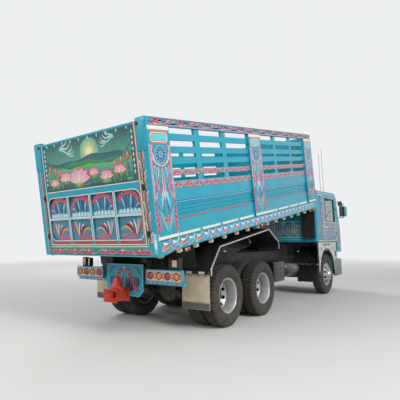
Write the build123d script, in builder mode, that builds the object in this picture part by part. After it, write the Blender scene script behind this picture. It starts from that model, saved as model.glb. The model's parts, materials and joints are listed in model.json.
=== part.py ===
from build123d import *
import os
from math import cos, radians, sin, tan

# Six-wheel tipping truck with a high, slatted and painted bed, in millimetres.
# +X runs to the front, +Y to the left, +Z up, and the origin is on the ground
# below the middle of the truck's length. The bed is stored partly raised.

os.makedirs("parts", exist_ok=True)

# Axles and wheels
rear_axle_x = -2309
tandem = 1370
wheelbase = 5455
tyre_r = 527
tyre_half_w = 139
rim_r = 286
front_tyre_y = 1045
twin_face_y = 935
wheel_offset = 160
spindle_r = 40
run_gap = 0.5
tyre_sides = 24
hub_sides = 12
bar_sides = 8

# Chassis
frame_half_w = 430
rail_h = 280
rail_top = 1040
rail_flange = 80
rail_t = 8
rear_overhang = 1290
front_overhang = 1045
subframe_h = 145

# Bed, in its own frame: s along it from its rear face, z up from its lower edge
bed_tilt = 8.8
hinge_back = 1200
hinge_z = 1120
hinge_s = 724.5
hinge_drop = 254.8
bed_length = 6600
bed_height = 1910
bed_half_w = 1270
wall_in = 1195
wall_out = 1235
floor_low = 130
floor_t = 10
sill_low = -180
bearer_low = -30
bearer_first = 120
bearer_pitch = 440
bearer_count = 15
bearer_w = 60
top_rail_low = 1790
post_s = 70
gate_half_w = 1090
gate_low = 150
gate_high = 1870
gate_t = 60
gate_hinge_z = 1830

# Hoist between the chassis and the bed
hoist_ahead = 300
hoist_z = 750
eye_s = 3924.5
eye_z = -154.8
barrel_r = 80
barrel_length = 1450
rod_r = 55
rod_length = 1500
hoist_pin_r = 30

# Cab
cab_half_w = 1190
cab_wall = 40
cab_behind = 675
cab_ahead = 1345
cab_floor_z = 1400
cab_floor_t = 40
cab_roof_z = 2700
cab_pivot_ahead = 1145
cab_pivot_z = 1000
door_gap = 6
glass_t = 6

# Worked out from the values above
mid_axle_x = rear_axle_x + tandem
front_axle_x = rear_axle_x + wheelbase
frame_rear_x = rear_axle_x - rear_overhang
frame_front_x = front_axle_x + front_overhang
rail_low = rail_top - rail_h
web_in = frame_half_w - rail_t
rail_in = frame_half_w - rail_flange
subframe_top = rail_top + subframe_h
hinge_x = rear_axle_x - hinge_back
cab_back_x = front_axle_x - cab_behind
cab_front_x = front_axle_x + cab_ahead
cab_pivot_x = front_axle_x + cab_pivot_ahead
floor_top = floor_low + floor_t
tilt_cos = cos(radians(bed_tilt))
tilt_sin = sin(radians(bed_tilt))
bed_along = Vector(tilt_cos, 0, tilt_sin)
bed_up = Vector(-tilt_sin, 0, tilt_cos)
bed_origin = Vector(hinge_x, 0, hinge_z) - bed_along * hinge_s + bed_up * hinge_drop


def bed_point(s, y, z):
    """The place in the truck's frame of a point of the bed."""
    return bed_origin + bed_along * s + bed_up * z + Vector(0, y, 0)


def bed_plane(s=0, y=0, z=0):
    """Level with the bed's floor: sketches are drawn in s and y."""
    return Plane(origin=bed_point(s, y, z), x_dir=bed_along, z_dir=bed_up)


def bed_side(y):
    """Upright along the bed: sketches are drawn in s and z, and grow to the right."""
    return Plane(origin=bed_point(0, y, 0), x_dir=bed_along, z_dir=(0, -1, 0))


def bed_cross(s):
    """Upright across the bed: sketches are drawn in y and z, and grow forwards."""
    return Plane(origin=bed_point(s, 0, 0), x_dir=(0, 1, 0), z_dir=bed_along)


def block(x, y, z):
    """A box between low and high values on each axis of the current workplane."""
    with Locations((sum(x) / 2, sum(y) / 2, sum(z) / 2)):
        Box(abs(x[1] - x[0]), abs(y[1] - y[0]), abs(z[1] - z[0]))


def slab(plane, outline, amount):
    """A closed outline drawn on a plane and extruded."""
    with BuildSketch(plane) as drawn:
        with BuildLine():
            Polyline(*outline, close=True)
        make_face()
    extrude(to_extrude=drawn.sketch, amount=amount)


def across(outline, y0, y1):
    """An outline in x and z, extruded between two values of y."""
    slab(Plane.XZ.offset(-max(y0, y1)), outline, abs(y1 - y0))


def side_face(outer, thick, side):
    """Upright along the truck at a wall on one side: what is drawn there grows through it to the right."""
    return Plane.XZ.offset(-max(side * outer, side * (outer - thick)))


def rod(start, end, r, sides=bar_sides):
    """A bar from start to end, with flat sides whose edges lie at its radius."""
    path = Vector(*end) - Vector(*start)
    with BuildSketch(Plane(origin=start, z_dir=path)) as section:
        RegularPolygon(r, sides)
    extrude(to_extrude=section.sketch, amount=path.length)


def pin(start, end, r):
    """A round pin from start to end, on which something turns."""
    path = Vector(*end) - Vector(*start)
    with BuildSketch(Plane(origin=start, z_dir=path)) as section:
        Circle(r)
    extrude(to_extrude=section.sketch, amount=path.length)


def bore(start, end, r):
    """A round hole from start to end."""
    path = Vector(*end) - Vector(*start)
    with BuildSketch(Plane(origin=start, z_dir=path)) as section:
        Circle(r)
    extrude(to_extrude=section.sketch, amount=path.length, mode=Mode.SUBTRACT)


def flat_bore(start, end, r, sides=hub_sides):
    """A hole with flat sides, from start to end, that clears a round pin of its radius."""
    path = Vector(*end) - Vector(*start)
    with BuildSketch(Plane(origin=start, z_dir=path)) as section:
        RegularPolygon(r, sides, major_radius=False)
    extrude(to_extrude=section.sketch, amount=path.length, mode=Mode.SUBTRACT)


def flared(xs, ys, root_z, tip_z):
    """A block with straight sides that spreads: ys are its half widths at both ends of xs."""
    deep = 2 * max(abs(z) for z in root_z + tip_z)
    with BuildPart() as block_made:
        plan = [(xs[0], -ys[0]), (xs[1], -ys[1]), (xs[1], ys[1]), (xs[0], ys[0])]
        slab(Plane.XY, plan, deep)
        with BuildSketch(Plane.XZ) as side_view:
            with BuildLine():
                Polyline((xs[0], root_z[0]), (xs[1], tip_z[0]), (xs[1], tip_z[1]), (xs[0], root_z[1]),
                         close=True)
            make_face()
        extrude(to_extrude=side_view.sketch, amount=2 * max(ys), both=True, mode=Mode.INTERSECT)
    return block_made.part


def turned(outline, sides):
    """A form turned about Z with flat sides. Its outline is in radius and height, at mid-side."""
    heights = [z for r, z in outline]
    far = 1.1 * max(r for r, z in outline)
    half = far * tan(radians(180 / sides))
    with BuildPart() as one_side:
        with BuildSketch(Plane.XZ) as drawn:
            with BuildLine():
                Polyline(*outline, close=True)
            make_face()
        extrude(to_extrude=drawn.sketch, amount=half, both=True)
        with BuildSketch(Plane.XY.offset(min(heights))) as wedge:
            with BuildLine():
                Polyline((0, 0), (far, -half), (far, half), close=True)
            make_face()
        extrude(to_extrude=wedge.sketch, amount=max(heights) - min(heights), mode=Mode.INTERSECT)
    with BuildPart() as whole:
        with PolarLocations(0, sides):
            add(one_side.part)
    return whole.part


def on_axle(x, y, out):
    """Where a wheel's part goes: its own Z runs along the axle, the way that out says."""
    return Locations(Plane(origin=(x, y, tyre_r), x_dir=(1, 0, 0), z_dir=(0, out, 0)))


def bent_strip(line, thick):
    """The closed outline of a sheet that follows a line, thick on its left side."""
    shifted = []
    for i, point in enumerate(line):
        before = Vector(*line[max(i - 1, 0)])
        after = Vector(*line[min(i + 1, len(line) - 1)])
        here = Vector(*point)
        first = (here - before) if i > 0 else (after - here)
        last = (after - here) if i < len(line) - 1 else first
        turn = (first.normalized() + last.normalized()).normalized()
        normal = Vector(-turn.Y, turn.X)
        reach = thick / normal.dot(Vector(-first.normalized().Y, first.normalized().X))
        shifted.append((here.X + normal.X * reach, here.Y + normal.Y * reach))
    return list(line) + shifted[::-1]


def save(piece, name):
    """Label a finished piece and write its file."""
    piece.part.label = name
    export_step(piece.part, f"parts/{name}.step")


# Chassis rails: two channels that open inwards
with BuildPart() as frame_rails:
    for side in (-1, 1):
        channel = [
            (frame_half_w, rail_low),
            (frame_half_w, rail_top),
            (rail_in, rail_top),
            (rail_in, rail_top - rail_t),
            (web_in, rail_top - rail_t),
            (web_in, rail_low + rail_t),
            (rail_in, rail_low + rail_t),
            (rail_in, rail_low),
        ]
        section = [(side * y, z) for y, z in channel]
        slab(Plane.YZ.offset(frame_rear_x), section, frame_front_x - frame_rear_x)
save(frame_rails, "frame_rails")

# Cross members between the rails, and the subframe's crosspieces above them
member_w = 70
member_t = 7
member_low = 850
member_high = 1010
hoist_member_low = rail_low + rail_t
crosspiece_w = 60
crosspiece_inset = 20
mid_member_ahead = 880
gearbox_member_ahead = 1730
mid_crosspiece_ahead = 980
third_crosspiece_ahead = 1980
member_xs = [
    frame_rear_x + 60, rear_axle_x - 550, mid_axle_x + mid_member_ahead, mid_axle_x + gearbox_member_ahead,
    front_axle_x + 880,
]
crosspiece_xs = [
    hinge_x + 300, mid_axle_x + mid_crosspiece_ahead, mid_axle_x + third_crosspiece_ahead, cab_back_x - 450,
]
with BuildPart() as cross_members:
    for x in member_xs:
        channel = [
            (x, member_low),
            (x + member_w, member_low),
            (x + member_w, member_low + member_t),
            (x + member_t, member_low + member_t),
            (x + member_t, member_high - member_t),
            (x + member_w, member_high - member_t),
            (x + member_w, member_high),
            (x, member_high),
        ]
        across(channel, -web_in, web_in)
    hoist_member_x = rear_axle_x + hoist_ahead - 180
    block((hoist_member_x, hoist_member_x + crosspiece_w), (-web_in, web_in),
          (hoist_member_low, member_high))
    for x in crosspiece_xs:
        block((x, x + crosspiece_w), (-rail_in, rail_in),
              (rail_top + crosspiece_inset, subframe_top - crosspiece_inset))
save(cross_members, "cross_members")

# Subframe rails, on which the lowered bed rests
with BuildPart() as subframe_rails:
    for side in (-1, 1):
        block((hinge_x + 120, cab_back_x - 330), (side * rail_in, side * frame_half_w),
              (rail_top, subframe_top))
save(subframe_rails, "subframe_rails")

# Brackets on the frame: bed hinges, hoist pivot, cab pivots and rear cab posts
tip_pin_r = 28
tip_cheek_t = 14
tip_gap = 15
tip_base_t = 16
lug_half = (frame_half_w - rail_in) / 2 + 5
rail_mid = (frame_half_w + rail_in) / 2
cab_pin_r = 20
cab_lug_half = 15
cab_cheek_t = 18
hoist_cheek_in = 95
hoist_cheek_t = 18
with BuildPart() as frame_brackets:
    for side in (-1, 1):
        inner = rail_mid - lug_half - tip_gap + 5
        outer = rail_mid + lug_half + tip_gap - 5
        base_y = (side * (inner - 20), side * (outer + 20))
        block((hinge_x - 80, hinge_x + 100), base_y, (rail_top, rail_top + tip_base_t))
        for low in (inner - tip_cheek_t, outer):
            cheek_y = (side * low, side * (low + tip_cheek_t))
            block((hinge_x - 60, hinge_x + 60), cheek_y, (rail_top + tip_base_t, hinge_z + 55))
        pin((hinge_x, side * (inner - tip_cheek_t), hinge_z),
            (hinge_x, side * (outer + tip_cheek_t), hinge_z), tip_pin_r)
    for side in (-1, 1):
        block((hoist_member_x + crosspiece_w, rear_axle_x + hoist_ahead + 55),
              (side * hoist_cheek_in, side * (hoist_cheek_in + hoist_cheek_t)), (hoist_z - 60, member_high))
    pin((rear_axle_x + hoist_ahead, -hoist_cheek_in - hoist_cheek_t, hoist_z),
        (rear_axle_x + hoist_ahead, hoist_cheek_in + hoist_cheek_t, hoist_z), hoist_pin_r)
    for side in (-1, 1):
        pivot_y = (side * (rail_in - 5), side * (frame_half_w + 5))
        block((frame_front_x, frame_front_x + 20), pivot_y, (rail_low, cab_pivot_z + 55))
        for low in (rail_in - 5, frame_half_w + 5 - cab_cheek_t):
            cheek_y = (side * low, side * (low + cab_cheek_t))
            block((frame_front_x + 20, cab_pivot_x + 45), cheek_y, (cab_pivot_z - 60, cab_pivot_z + 50))
        pin((cab_pivot_x, pivot_y[0], cab_pivot_z), (cab_pivot_x, pivot_y[1], cab_pivot_z), cab_pin_r)
        block((cab_back_x + 60, cab_back_x + 130), (side * rail_in, side * frame_half_w),
              (rail_top, cab_floor_z))
save(frame_brackets, "frame_brackets")

# Tow plate across the rear ends of the rails
plate_t = 16
plate_high = 1090
plate_low = 570
plate_half_w = 410
plate_back_x = frame_rear_x - plate_t
with BuildPart() as tow_plate:
    outline = [
        (-plate_half_w, plate_high),
        (-plate_half_w, plate_low + 90),
        (-plate_half_w + 90, plate_low),
        (plate_half_w - 90, plate_low),
        (plate_half_w, plate_low + 90),
        (plate_half_w, plate_high),
    ]
    slab(Plane.YZ.offset(plate_back_x), outline, plate_t)
save(tow_plate, "tow_plate")

# Drawbar coupling: flange, neck, jaw with a pin bore, funnel mouth and lever tower
coupling_z = 600
jaw_x = plate_back_x - 175
jaw_half = (50, 75, 95)
mouth_slot = (45, 40)
funnel_depth = 110
funnel_wall = 15
mouth_half = (150, 105)
coupling_pin_r = 20
tower_r = 55
tower_top = coupling_z + 260
pin_depth = 45
funnel_xs = (jaw_x - jaw_half[0], jaw_x - jaw_half[0] - funnel_depth)
root_half = (jaw_half[1], mouth_slot[1] + funnel_wall)
lip_half = [half - funnel_wall for half in mouth_half]
funnel = flared(
    funnel_xs, (root_half[0], mouth_half[0]), (coupling_z - root_half[1], coupling_z + root_half[1]),
    (coupling_z - mouth_half[1], coupling_z + mouth_half[1]))
funnel_hollow = flared(
    funnel_xs, (mouth_slot[0], lip_half[0]), (coupling_z - mouth_slot[1], coupling_z + mouth_slot[1]),
    (coupling_z - lip_half[1], coupling_z + lip_half[1]))
with BuildPart() as tow_coupling:
    block((plate_back_x - 20, plate_back_x), (-110, 110), (coupling_z - 110, coupling_z + 110))
    block((jaw_x + jaw_half[0], plate_back_x - 20), (-60, 60), (coupling_z - 55, coupling_z + 55))
    block((jaw_x - jaw_half[0], jaw_x + jaw_half[0]), (-jaw_half[1], jaw_half[1]),
          (coupling_z - jaw_half[2], coupling_z + jaw_half[2]))
    rod((jaw_x, 0, coupling_z + jaw_half[2]), (jaw_x, 0, tower_top), tower_r)
    add(funnel)
    add(funnel_hollow, mode=Mode.SUBTRACT)
    with Locations((jaw_x - 10, 0, coupling_z)):
        Box(2 * jaw_half[0] - 20, 2 * mouth_slot[0], 2 * mouth_slot[1], mode=Mode.SUBTRACT)
    bore((jaw_x, 0, coupling_z - jaw_half[2]), (jaw_x, 0, coupling_z + jaw_half[2] + pin_depth),
         coupling_pin_r)
save(tow_coupling, "tow_coupling")

# Rear lamp boxes on bars that stand out from the rails
bar_x = (rear_axle_x - 1277, rear_axle_x - 1200)
bar_z = (784, 834)
lamp_box_y = (505, 1175)
bar_end = lamp_box_y[1] + 15
lamp_box_top = 1023
lamp_box_x = (rear_axle_x - 1330, rear_axle_x - 1250)
lamp_r = 60
lamp_sides = 12
lamp_first = 590
lamp_pitch = 167
lamp_z = 928
with BuildPart() as rear_lamp_boxes:
    for side in (-1, 1):
        block(bar_x, (side * frame_half_w, side * bar_end), bar_z)
        block(lamp_box_x, (side * lamp_box_y[0], side * lamp_box_y[1]), (bar_z[1], lamp_box_top))
        block((bar_x[0], bar_x[0] + 12), (side * frame_half_w, side * lamp_box_y[0]),
              (bar_z[1], lamp_box_top - 13))
save(rear_lamp_boxes, "rear_lamp_boxes")

# Round rear lamps, four a side, and the two headlamps in the bumper
bumper_x = front_axle_x + 1400
headlamp_y = (cab_half_w - 410, cab_half_w - 210)
headlamp_z = (600, 780)
with BuildPart() as lamps:
    for side in (-1, 1):
        for i in range(4):
            y = side * (lamp_first + i * lamp_pitch)
            rod((lamp_box_x[0], y, lamp_z), (lamp_box_x[0] - 15, y, lamp_z), lamp_r, lamp_sides)
        block((bumper_x, bumper_x + 10), (side * headlamp_y[0], side * headlamp_y[1]), headlamp_z)
save(lamps, "lamps")

# Mud flaps behind the twin wheels, hung from square bars
flap_x = rear_axle_x - 735
flap_t = 8
flap_y = (760, 1290)
flap_z = (370, 930)
flap_bar = 50
with BuildPart() as mud_flaps:
    for side in (-1, 1):
        block((flap_x - flap_bar / 2, flap_x + flap_bar / 2), (side * frame_half_w, side * flap_y[1]),
              (flap_z[1], flap_z[1] + flap_bar))
        block((flap_x, flap_x + flap_t), (side * flap_y[0], side * flap_y[1]), flap_z)
save(mud_flaps, "mud_flaps")

# Axles: two driven ones with their final drives, and the front beam
axle_tube_r = 70
axle_end = 600 - run_gap
spindle_length = 160
drive_r = 190
drive_half = 130
nose_reach = 330
nose_r = (120, 70)
seat_y = (445, 535)
seat_top = 612
kingpin_y = 840
boss_r = 48
boss_z = (455, 600)
beam_w = 90
beam_top = 490
kingpin_r = 20
nose_h = nose_reach - drive_half
nose_form = turned([(0, 0), (nose_r[0], 0), (nose_r[1], nose_h), (0, nose_h)], bar_sides)
with BuildPart() as axles:
    for x in (rear_axle_x, mid_axle_x):
        rod((x, -axle_end, tyre_r), (x, axle_end, tyre_r), axle_tube_r)
        pin((x, -axle_end - spindle_length, tyre_r), (x, axle_end + spindle_length, tyre_r), spindle_r)
        rod((x - drive_half, 0, tyre_r), (x + drive_half, 0, tyre_r), drive_r, hub_sides)
        with Locations(Plane(origin=(x + drive_half, 0, tyre_r), x_dir=(0, 1, 0), z_dir=(1, 0, 0))):
            add(nose_form)
        for side in (-1, 1):
            block((x - 60, x + 60), (side * seat_y[0], side * seat_y[1]), (tyre_r, seat_top))
    beam = [
        (-kingpin_y + 30, boss_z[1] - 10),
        (-kingpin_y + 30, boss_z[0] + 23),
        (-740, boss_z[0] + 5),
        (-620, 395),
        (620, 395),
        (740, boss_z[0] + 5),
        (kingpin_y - 30, boss_z[0] + 23),
        (kingpin_y - 30, boss_z[1] - 10),
        (600, beam_top),
        (-600, beam_top),
    ]
    slab(Plane.YZ.offset(front_axle_x - beam_w / 2), beam, beam_w)
    for side in (-1, 1):
        boss = [(front_axle_x, side * kingpin_y, z) for z in boss_z]
        rod(*boss, boss_r)
        flat_bore(*boss, kingpin_r + run_gap, bar_sides)
save(axles, "axles")

# Leaf springs: a pair over the front beam and a pair that rocks between the rear axles
bogie_x = (rear_axle_x + mid_axle_x) / 2
front_spring_y = (385, 455)
with BuildPart() as leaf_springs:
    for side in (-1, 1):
        pack = [
            (-660, rail_low), (-660, 660), (-240, beam_top), (240, beam_top), (660, 660), (660, rail_low),
            (600, rail_low), (590, 690), (300, 610), (0, 590), (-300, 610), (-590, 690), (-600, rail_low),
        ]
        across([(front_axle_x + x, z) for x, z in pack], side * front_spring_y[0], side * front_spring_y[1])
        half = tandem / 2
        pack = [
            (-half - 40, seat_top), (-half - 40, seat_top + 26), (-300, 735), (-120, 790),
            (120, 790), (300, 735), (half + 40, seat_top + 26), (half + 40, seat_top),
            (200, 650), (-200, 650),
        ]
        across([(bogie_x + x, z) for x, z in pack], side * seat_y[0], side * seat_y[1])
        carrier = [(-70, 560), (70, 560), (120, rail_top - 80), (-120, rail_top - 80)]
        across([(bogie_x + x, z) for x, z in carrier], side * frame_half_w, side * seat_y[0])
        rod((bogie_x, side * frame_half_w, 610), (bogie_x, side * (seat_y[1] + 8), 610), 45)
save(leaf_springs, "leaf_springs")

# Engine with its gearbox as plain blocks, and the propeller shafts
engine_x = (front_axle_x - 1000, front_axle_x + 145)
engine_z = (700, 1340)
gearbox_back = engine_x[0] - 750
shaft_z = 800
shaft_r = 45
gearbox = flared((engine_x[0], gearbox_back), (260, 120), (650, 1070), (shaft_z - 100, shaft_z + 140))
with BuildPart() as driveline:
    block(engine_x, (-330, 330), engine_z)
    add(gearbox)
    rod((mid_axle_x + nose_reach, 0, tyre_r), (mid_axle_x + nose_reach + 40, 0, tyre_r), 60)
    rod((gearbox_back, 0, shaft_z), (mid_axle_x + nose_reach + 20, 0, tyre_r), shaft_r)
    rod((mid_axle_x - drive_half, 0, tyre_r), (rear_axle_x + nose_reach, 0, tyre_r), shaft_r)
save(driveline, "driveline")

# Tanks and battery box beside the rails
tank_behind_cab = 2330
tank_size = (1300, 620, 520)
tank_mid = (810, 740)
tank_corner = 70
air_tank_behind_cab = 1880
air_tank_length = 800
air_tank_r = 180
air_tank_mid = (-900, 780)
battery_behind_cab = 2580
battery_size = (560, 560, 420)
battery_y = (-1080, -520)
battery_z = (560, 980)
arm_w = 50
with BuildPart() as side_tanks:
    tank_x = cab_back_x - tank_behind_cab
    with BuildSketch(Plane.YZ.offset(tank_x)) as tank_end:
        with Locations(tank_mid):
            Rectangle(tank_size[1], tank_size[2])
        chamfer(tank_end.vertices(), tank_corner)
    extrude(to_extrude=tank_end.sketch, amount=tank_size[0])
    for x in (tank_x + 250, tank_x + 1000):
        block((x, x + arm_w), (frame_half_w, tank_mid[0] - tank_size[1] / 2), (780, 960))
    air_x = cab_back_x - air_tank_behind_cab
    rod((air_x, *air_tank_mid), (air_x + air_tank_length, *air_tank_mid), air_tank_r, hub_sides)
    for x in (air_x + 150, air_x + 600):
        block((x, x + arm_w), (air_tank_mid[0] + 170, -frame_half_w), (770, 960))
    battery_x = cab_back_x - battery_behind_cab
    block((battery_x, battery_x + battery_size[0]), battery_y, battery_z)
    for x in (battery_x + 100, battery_x + 400):
        block((x, x + arm_w), (battery_y[1], -frame_half_w), (780, 960))
save(side_tanks, "side_tanks")

# Front bumper, wrapped round the corners, with its arms and the strip above it
bumper_z = (430, 900)
bumper_t = 60
wrap_x = front_axle_x + 700
strip_top = 1085
lug_slot = cab_lug_half + 7
with BuildPart() as bumper:
    bumper_in = cab_half_w - bumper_t
    outer = [(wrap_x, cab_half_w), (bumper_x - 110, cab_half_w), (bumper_x, cab_half_w - 180)]
    inner = [(bumper_x - bumper_t, cab_half_w - 210), (bumper_x - 140, bumper_in), (wrap_x, bumper_in)]
    right = [(x, -y) for x, y in inner[::-1]]
    right = [(x, -y) for x, y in outer[::-1]] + right
    slab(Plane.XY.offset(bumper_z[0]), outer + right + inner, bumper_z[1] - bumper_z[0])
    for side in (-1, 1):
        block((frame_front_x + 20, bumper_x - bumper_t), (side * rail_in, side * frame_half_w),
              (rail_low + 20, bumper_z[1]))
        strip_y = (side * (rail_mid + lug_slot), side * (cab_half_w - 190))
        block((cab_pivot_x + 95, cab_pivot_x + 115), strip_y, (bumper_z[1], strip_top))
    block((cab_pivot_x + 95, cab_pivot_x + 115), (lug_slot - rail_mid, rail_mid - lug_slot),
          (bumper_z[1], strip_top))
save(bumper, "bumper")

# Step panels round the front wheels, and the mudguards behind them
arch_r = 625
arch_sides = 28
arch_z = 600
step_top = cab_floor_z - 15
step_back = front_axle_x - 680
step_front = front_axle_x + 845
step_t = 40
with BuildPart() as step_panels:
    for side in (-1, 1):
        with BuildSketch(side_face(cab_half_w, step_t, side)) as panel:
            with BuildLine():
                Polyline((step_back, arch_z), (step_back, step_top), (step_front, step_top),
                         (step_front, bumper_z[1]), (wrap_x, bumper_z[1]), (wrap_x, 450),
                         (front_axle_x + 650, 450), (front_axle_x + 640, arch_z), close=True)
            make_face()
            with Locations((front_axle_x, arch_z)):
                RegularPolygon(arch_r, arch_sides, major_radius=False, mode=Mode.SUBTRACT)
            with Locations((front_axle_x, step_top - 60)):
                Rectangle(640, 60, mode=Mode.SUBTRACT)
            with Locations((step_front - 90, 1060)):
                Rectangle(130, 160, mode=Mode.SUBTRACT)
        extrude(to_extrude=panel.sketch, amount=step_t)
        guard = [(-660, 350), (-660, 900), (-470, 1150), (-250, 1270), (250, 1270), (470, 1150), (660, 900)]
        guard = [(front_axle_x + x, z) for x, z in guard]
        across(bent_strip(guard, 8), side * 600, side * (cab_half_w - step_t))
        block((front_axle_x - 708, front_axle_x - 668), (side * frame_half_w, side * (cab_half_w - step_t)),
              (790, 840))
save(step_panels, "step_panels")

# Cab floor with its pivot lugs
with BuildPart() as cab_floor:
    floor_half = cab_half_w - cab_wall - door_gap
    block((cab_back_x + cab_wall, cab_front_x - cab_wall), (-floor_half, floor_half),
          (cab_floor_z, cab_floor_z + cab_floor_t))
    for side in (-1, 1):
        lug = [
            (cab_pivot_x - 45, cab_pivot_z), (cab_pivot_x + 45, cab_pivot_z),
            (cab_pivot_x + 90, cab_floor_z), (cab_pivot_x - 50, cab_floor_z),
        ]
        lug_y = (side * (rail_mid - cab_lug_half), side * (rail_mid + cab_lug_half))
        lug_eye = [(cab_pivot_x, y, cab_pivot_z) for y in lug_y]
        across(lug, *lug_y)
        rod(*lug_eye, 45)
        flat_bore(*lug_eye, cab_pin_r + run_gap, bar_sides)
save(cab_floor, "cab_floor")

# Rear of the cab: back wall and the quarter panels behind the doors, in one pressing
door_back = front_axle_x - 55
rear_window_z = (2120, 2420)
rear_window_half = 550
with BuildPart() as cab_rear:
    with BuildSketch(Plane.XY.offset(cab_floor_z)) as plan:
        with BuildLine():
            Polyline((door_back, cab_half_w), (cab_back_x, cab_half_w), (cab_back_x, -cab_half_w),
                     (door_back, -cab_half_w), (door_back, -cab_half_w + cab_wall),
                     (cab_back_x + cab_wall, -cab_half_w + cab_wall),
                     (cab_back_x + cab_wall, cab_half_w - cab_wall),
                     (door_back, cab_half_w - cab_wall), close=True)
        make_face()
        fillet(plan.vertices().sort_by(Axis.X)[:2], 60)
    extrude(to_extrude=plan.sketch, amount=cab_roof_z - cab_floor_z)
    with Locations((cab_back_x + cab_wall / 2, 0, sum(rear_window_z) / 2)):
        Box(2 * cab_wall, 2 * rear_window_half, rear_window_z[1] - rear_window_z[0], mode=Mode.SUBTRACT)
save(cab_rear, "cab_rear")

# Roof: a crowned shell with side rails that close down on the doors
header_x = front_axle_x + 1045
crown = [
    (cab_back_x, cab_roof_z),
    (cab_back_x, cab_roof_z + 40),
    (cab_back_x + 50, cab_roof_z + 65),
    (front_axle_x + 800, cab_roof_z + 100),
    (header_x - 60, cab_roof_z + 75),
    (header_x, cab_roof_z),
]
ceiling = [
    (header_x - 60, cab_roof_z),
    (header_x - 100, cab_roof_z + 35),
    (front_axle_x + 790, cab_roof_z + 60),
    (cab_back_x + 60, cab_roof_z + 25),
    (cab_back_x + 40, cab_roof_z),
]
with BuildPart() as cab_roof:
    across(crown + ceiling, -cab_half_w, cab_half_w)
    for side in (-1, 1):
        across(crown, side * (cab_half_w - cab_wall), side * cab_half_w)
save(cab_roof, "cab_roof")

# Front of the cab: panel, corner panels and windscreen pillars
pillar_foot_x = front_axle_x + 1275
pillar_foot_z = 1960
nose_z = 1720
front_low = 1100
door_front = front_axle_x + 945
door_bend_z = 2050
pillar_y = cab_half_w - 110
front_line = [
    (header_x, cab_roof_z), (pillar_foot_x, pillar_foot_z), (cab_front_x, nose_z), (cab_front_x, front_low),
]
grille_half = 620
grille_zs = (1240, 1320, 1400, 1480, 1560)
grille_slot_h = 34
hinge_r = 12
hinge_out = 14
hinge_zs = (1640, 2340)
hinge_h = 40
with BuildPart() as cab_front:
    lower = bent_strip(front_line[1:], -cab_wall)
    across(lower, -cab_half_w, cab_half_w)
    for side in (-1, 1):
        corner = [(door_front, front_low), (door_front, door_bend_z), (door_front - 60, cab_roof_z)]
        corner += front_line
        across(corner, side * (cab_half_w - cab_wall), side * cab_half_w)
        across(bent_strip(front_line[:2], -cab_wall), side * pillar_y, side * cab_half_w)
        hinge_y = (side * cab_half_w, side * (cab_half_w + hinge_out))
        for z in hinge_zs:
            rod((door_front, hinge_y[1], z + 0.3), (door_front, hinge_y[1], z + hinge_h), hinge_r)
            block((door_front + 2, door_front + 50), hinge_y, (z + 0.3, z + hinge_h))
    for z in grille_zs:
        with Locations((cab_front_x, 0, z)):
            Box(3 * cab_wall, 2 * grille_half, grille_slot_h, mode=Mode.SUBTRACT)
save(cab_front, "cab_front")

# Windscreen and rear window
with BuildPart() as cab_glass:
    pane = bent_strip([front_line[0], front_line[1]], -cab_wall)
    middle = [((pane[0][0] + pane[3][0]) / 2, pane[0][1]), ((pane[1][0] + pane[2][0]) / 2, pane[1][1])]
    across(bent_strip(middle, -glass_t), -pillar_y, pillar_y)
    block((cab_back_x + 17, cab_back_x + 17 + glass_t), (-rear_window_half, rear_window_half), rear_window_z)
save(cab_glass, "cab_glass")

# Sun visor over the windscreen
with BuildPart() as sun_visor:
    blade = [(-48, 60), (-15, 75), (185, -50), (187, -70), (-24, 30)]
    across([(header_x + x, cab_roof_z + z) for x, z in blade], -cab_half_w + 40, cab_half_w - 40)
save(sun_visor, "sun_visor")

# Lamp bar on the roof with four round lamps
roof_bar_x = front_axle_x + 800
roof_bar_z = cab_roof_z + 150
with BuildPart() as roof_lamps:
    rod((roof_bar_x, -800, roof_bar_z), (roof_bar_x, 800, roof_bar_z), 15)
    for y in (-760, 0, 760):
        block((roof_bar_x - 12, roof_bar_x + 12), (y - 12, y + 12), (cab_roof_z + 100, roof_bar_z))
    for y in (-600, -220, 220, 600):
        rod((roof_bar_x - 40, y, roof_bar_z + 60), (roof_bar_x + 40, y, roof_bar_z + 60), 80, lamp_sides)
save(roof_lamps, "roof_lamps")

# Mirrors on arms from the windscreen pillars
mirror_y = (cab_half_w + 100, cab_half_w + 300)
mirror_post_y = cab_half_w + 210
mirror_z = (2120, 2420)
wide_mirror_z = (2440, 2540)
mirror_arm_zs = (2090, 2560)
mirror_half_t = 45
with BuildPart() as mirrors:
    for side in (-1, 1):
        x = door_front + 60
        head_y = (side * mirror_y[0], side * mirror_y[1])
        post_y = side * mirror_post_y
        for z in mirror_arm_zs:
            rod((x, side * cab_half_w, z), (x, post_y, z), 11, 6)
        rod((x, post_y, mirror_arm_zs[0] - 14), (x, post_y, mirror_arm_zs[1] + 14), 14, 6)
        for z in (mirror_z, wide_mirror_z):
            block((x - mirror_half_t, x + mirror_half_t), head_y, z)
save(mirrors, "mirrors")

# Air intake duct on the cab's back wall
with BuildPart() as intake_duct:
    block((cab_back_x - 80, cab_back_x), (50 - cab_half_w, 370 - cab_half_w), (1500, 2390))
save(intake_duct, "intake_duct")

# Dashboard with the steering column
wheel_centre = Vector(front_axle_x + 800, -600, 2010)
column_dir = Vector(-0.5, 0, 0.866)
column_foot = wheel_centre - column_dir * 360
with BuildPart() as dashboard:
    outline = [
        (1050, cab_floor_z + cab_floor_t), (1295, cab_floor_z + cab_floor_t), (1295, 1715), (1222, 1940),
        (1010, 1900), (930, 1790), (960, 1660), (1060, 1600),
    ]
    across([(front_axle_x + x, z) for x, z in outline], -cab_half_w + 60, cab_half_w - 60)
    rod(tuple(column_foot), tuple(wheel_centre - column_dir * 30), 35)
save(dashboard, "dashboard")

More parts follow.
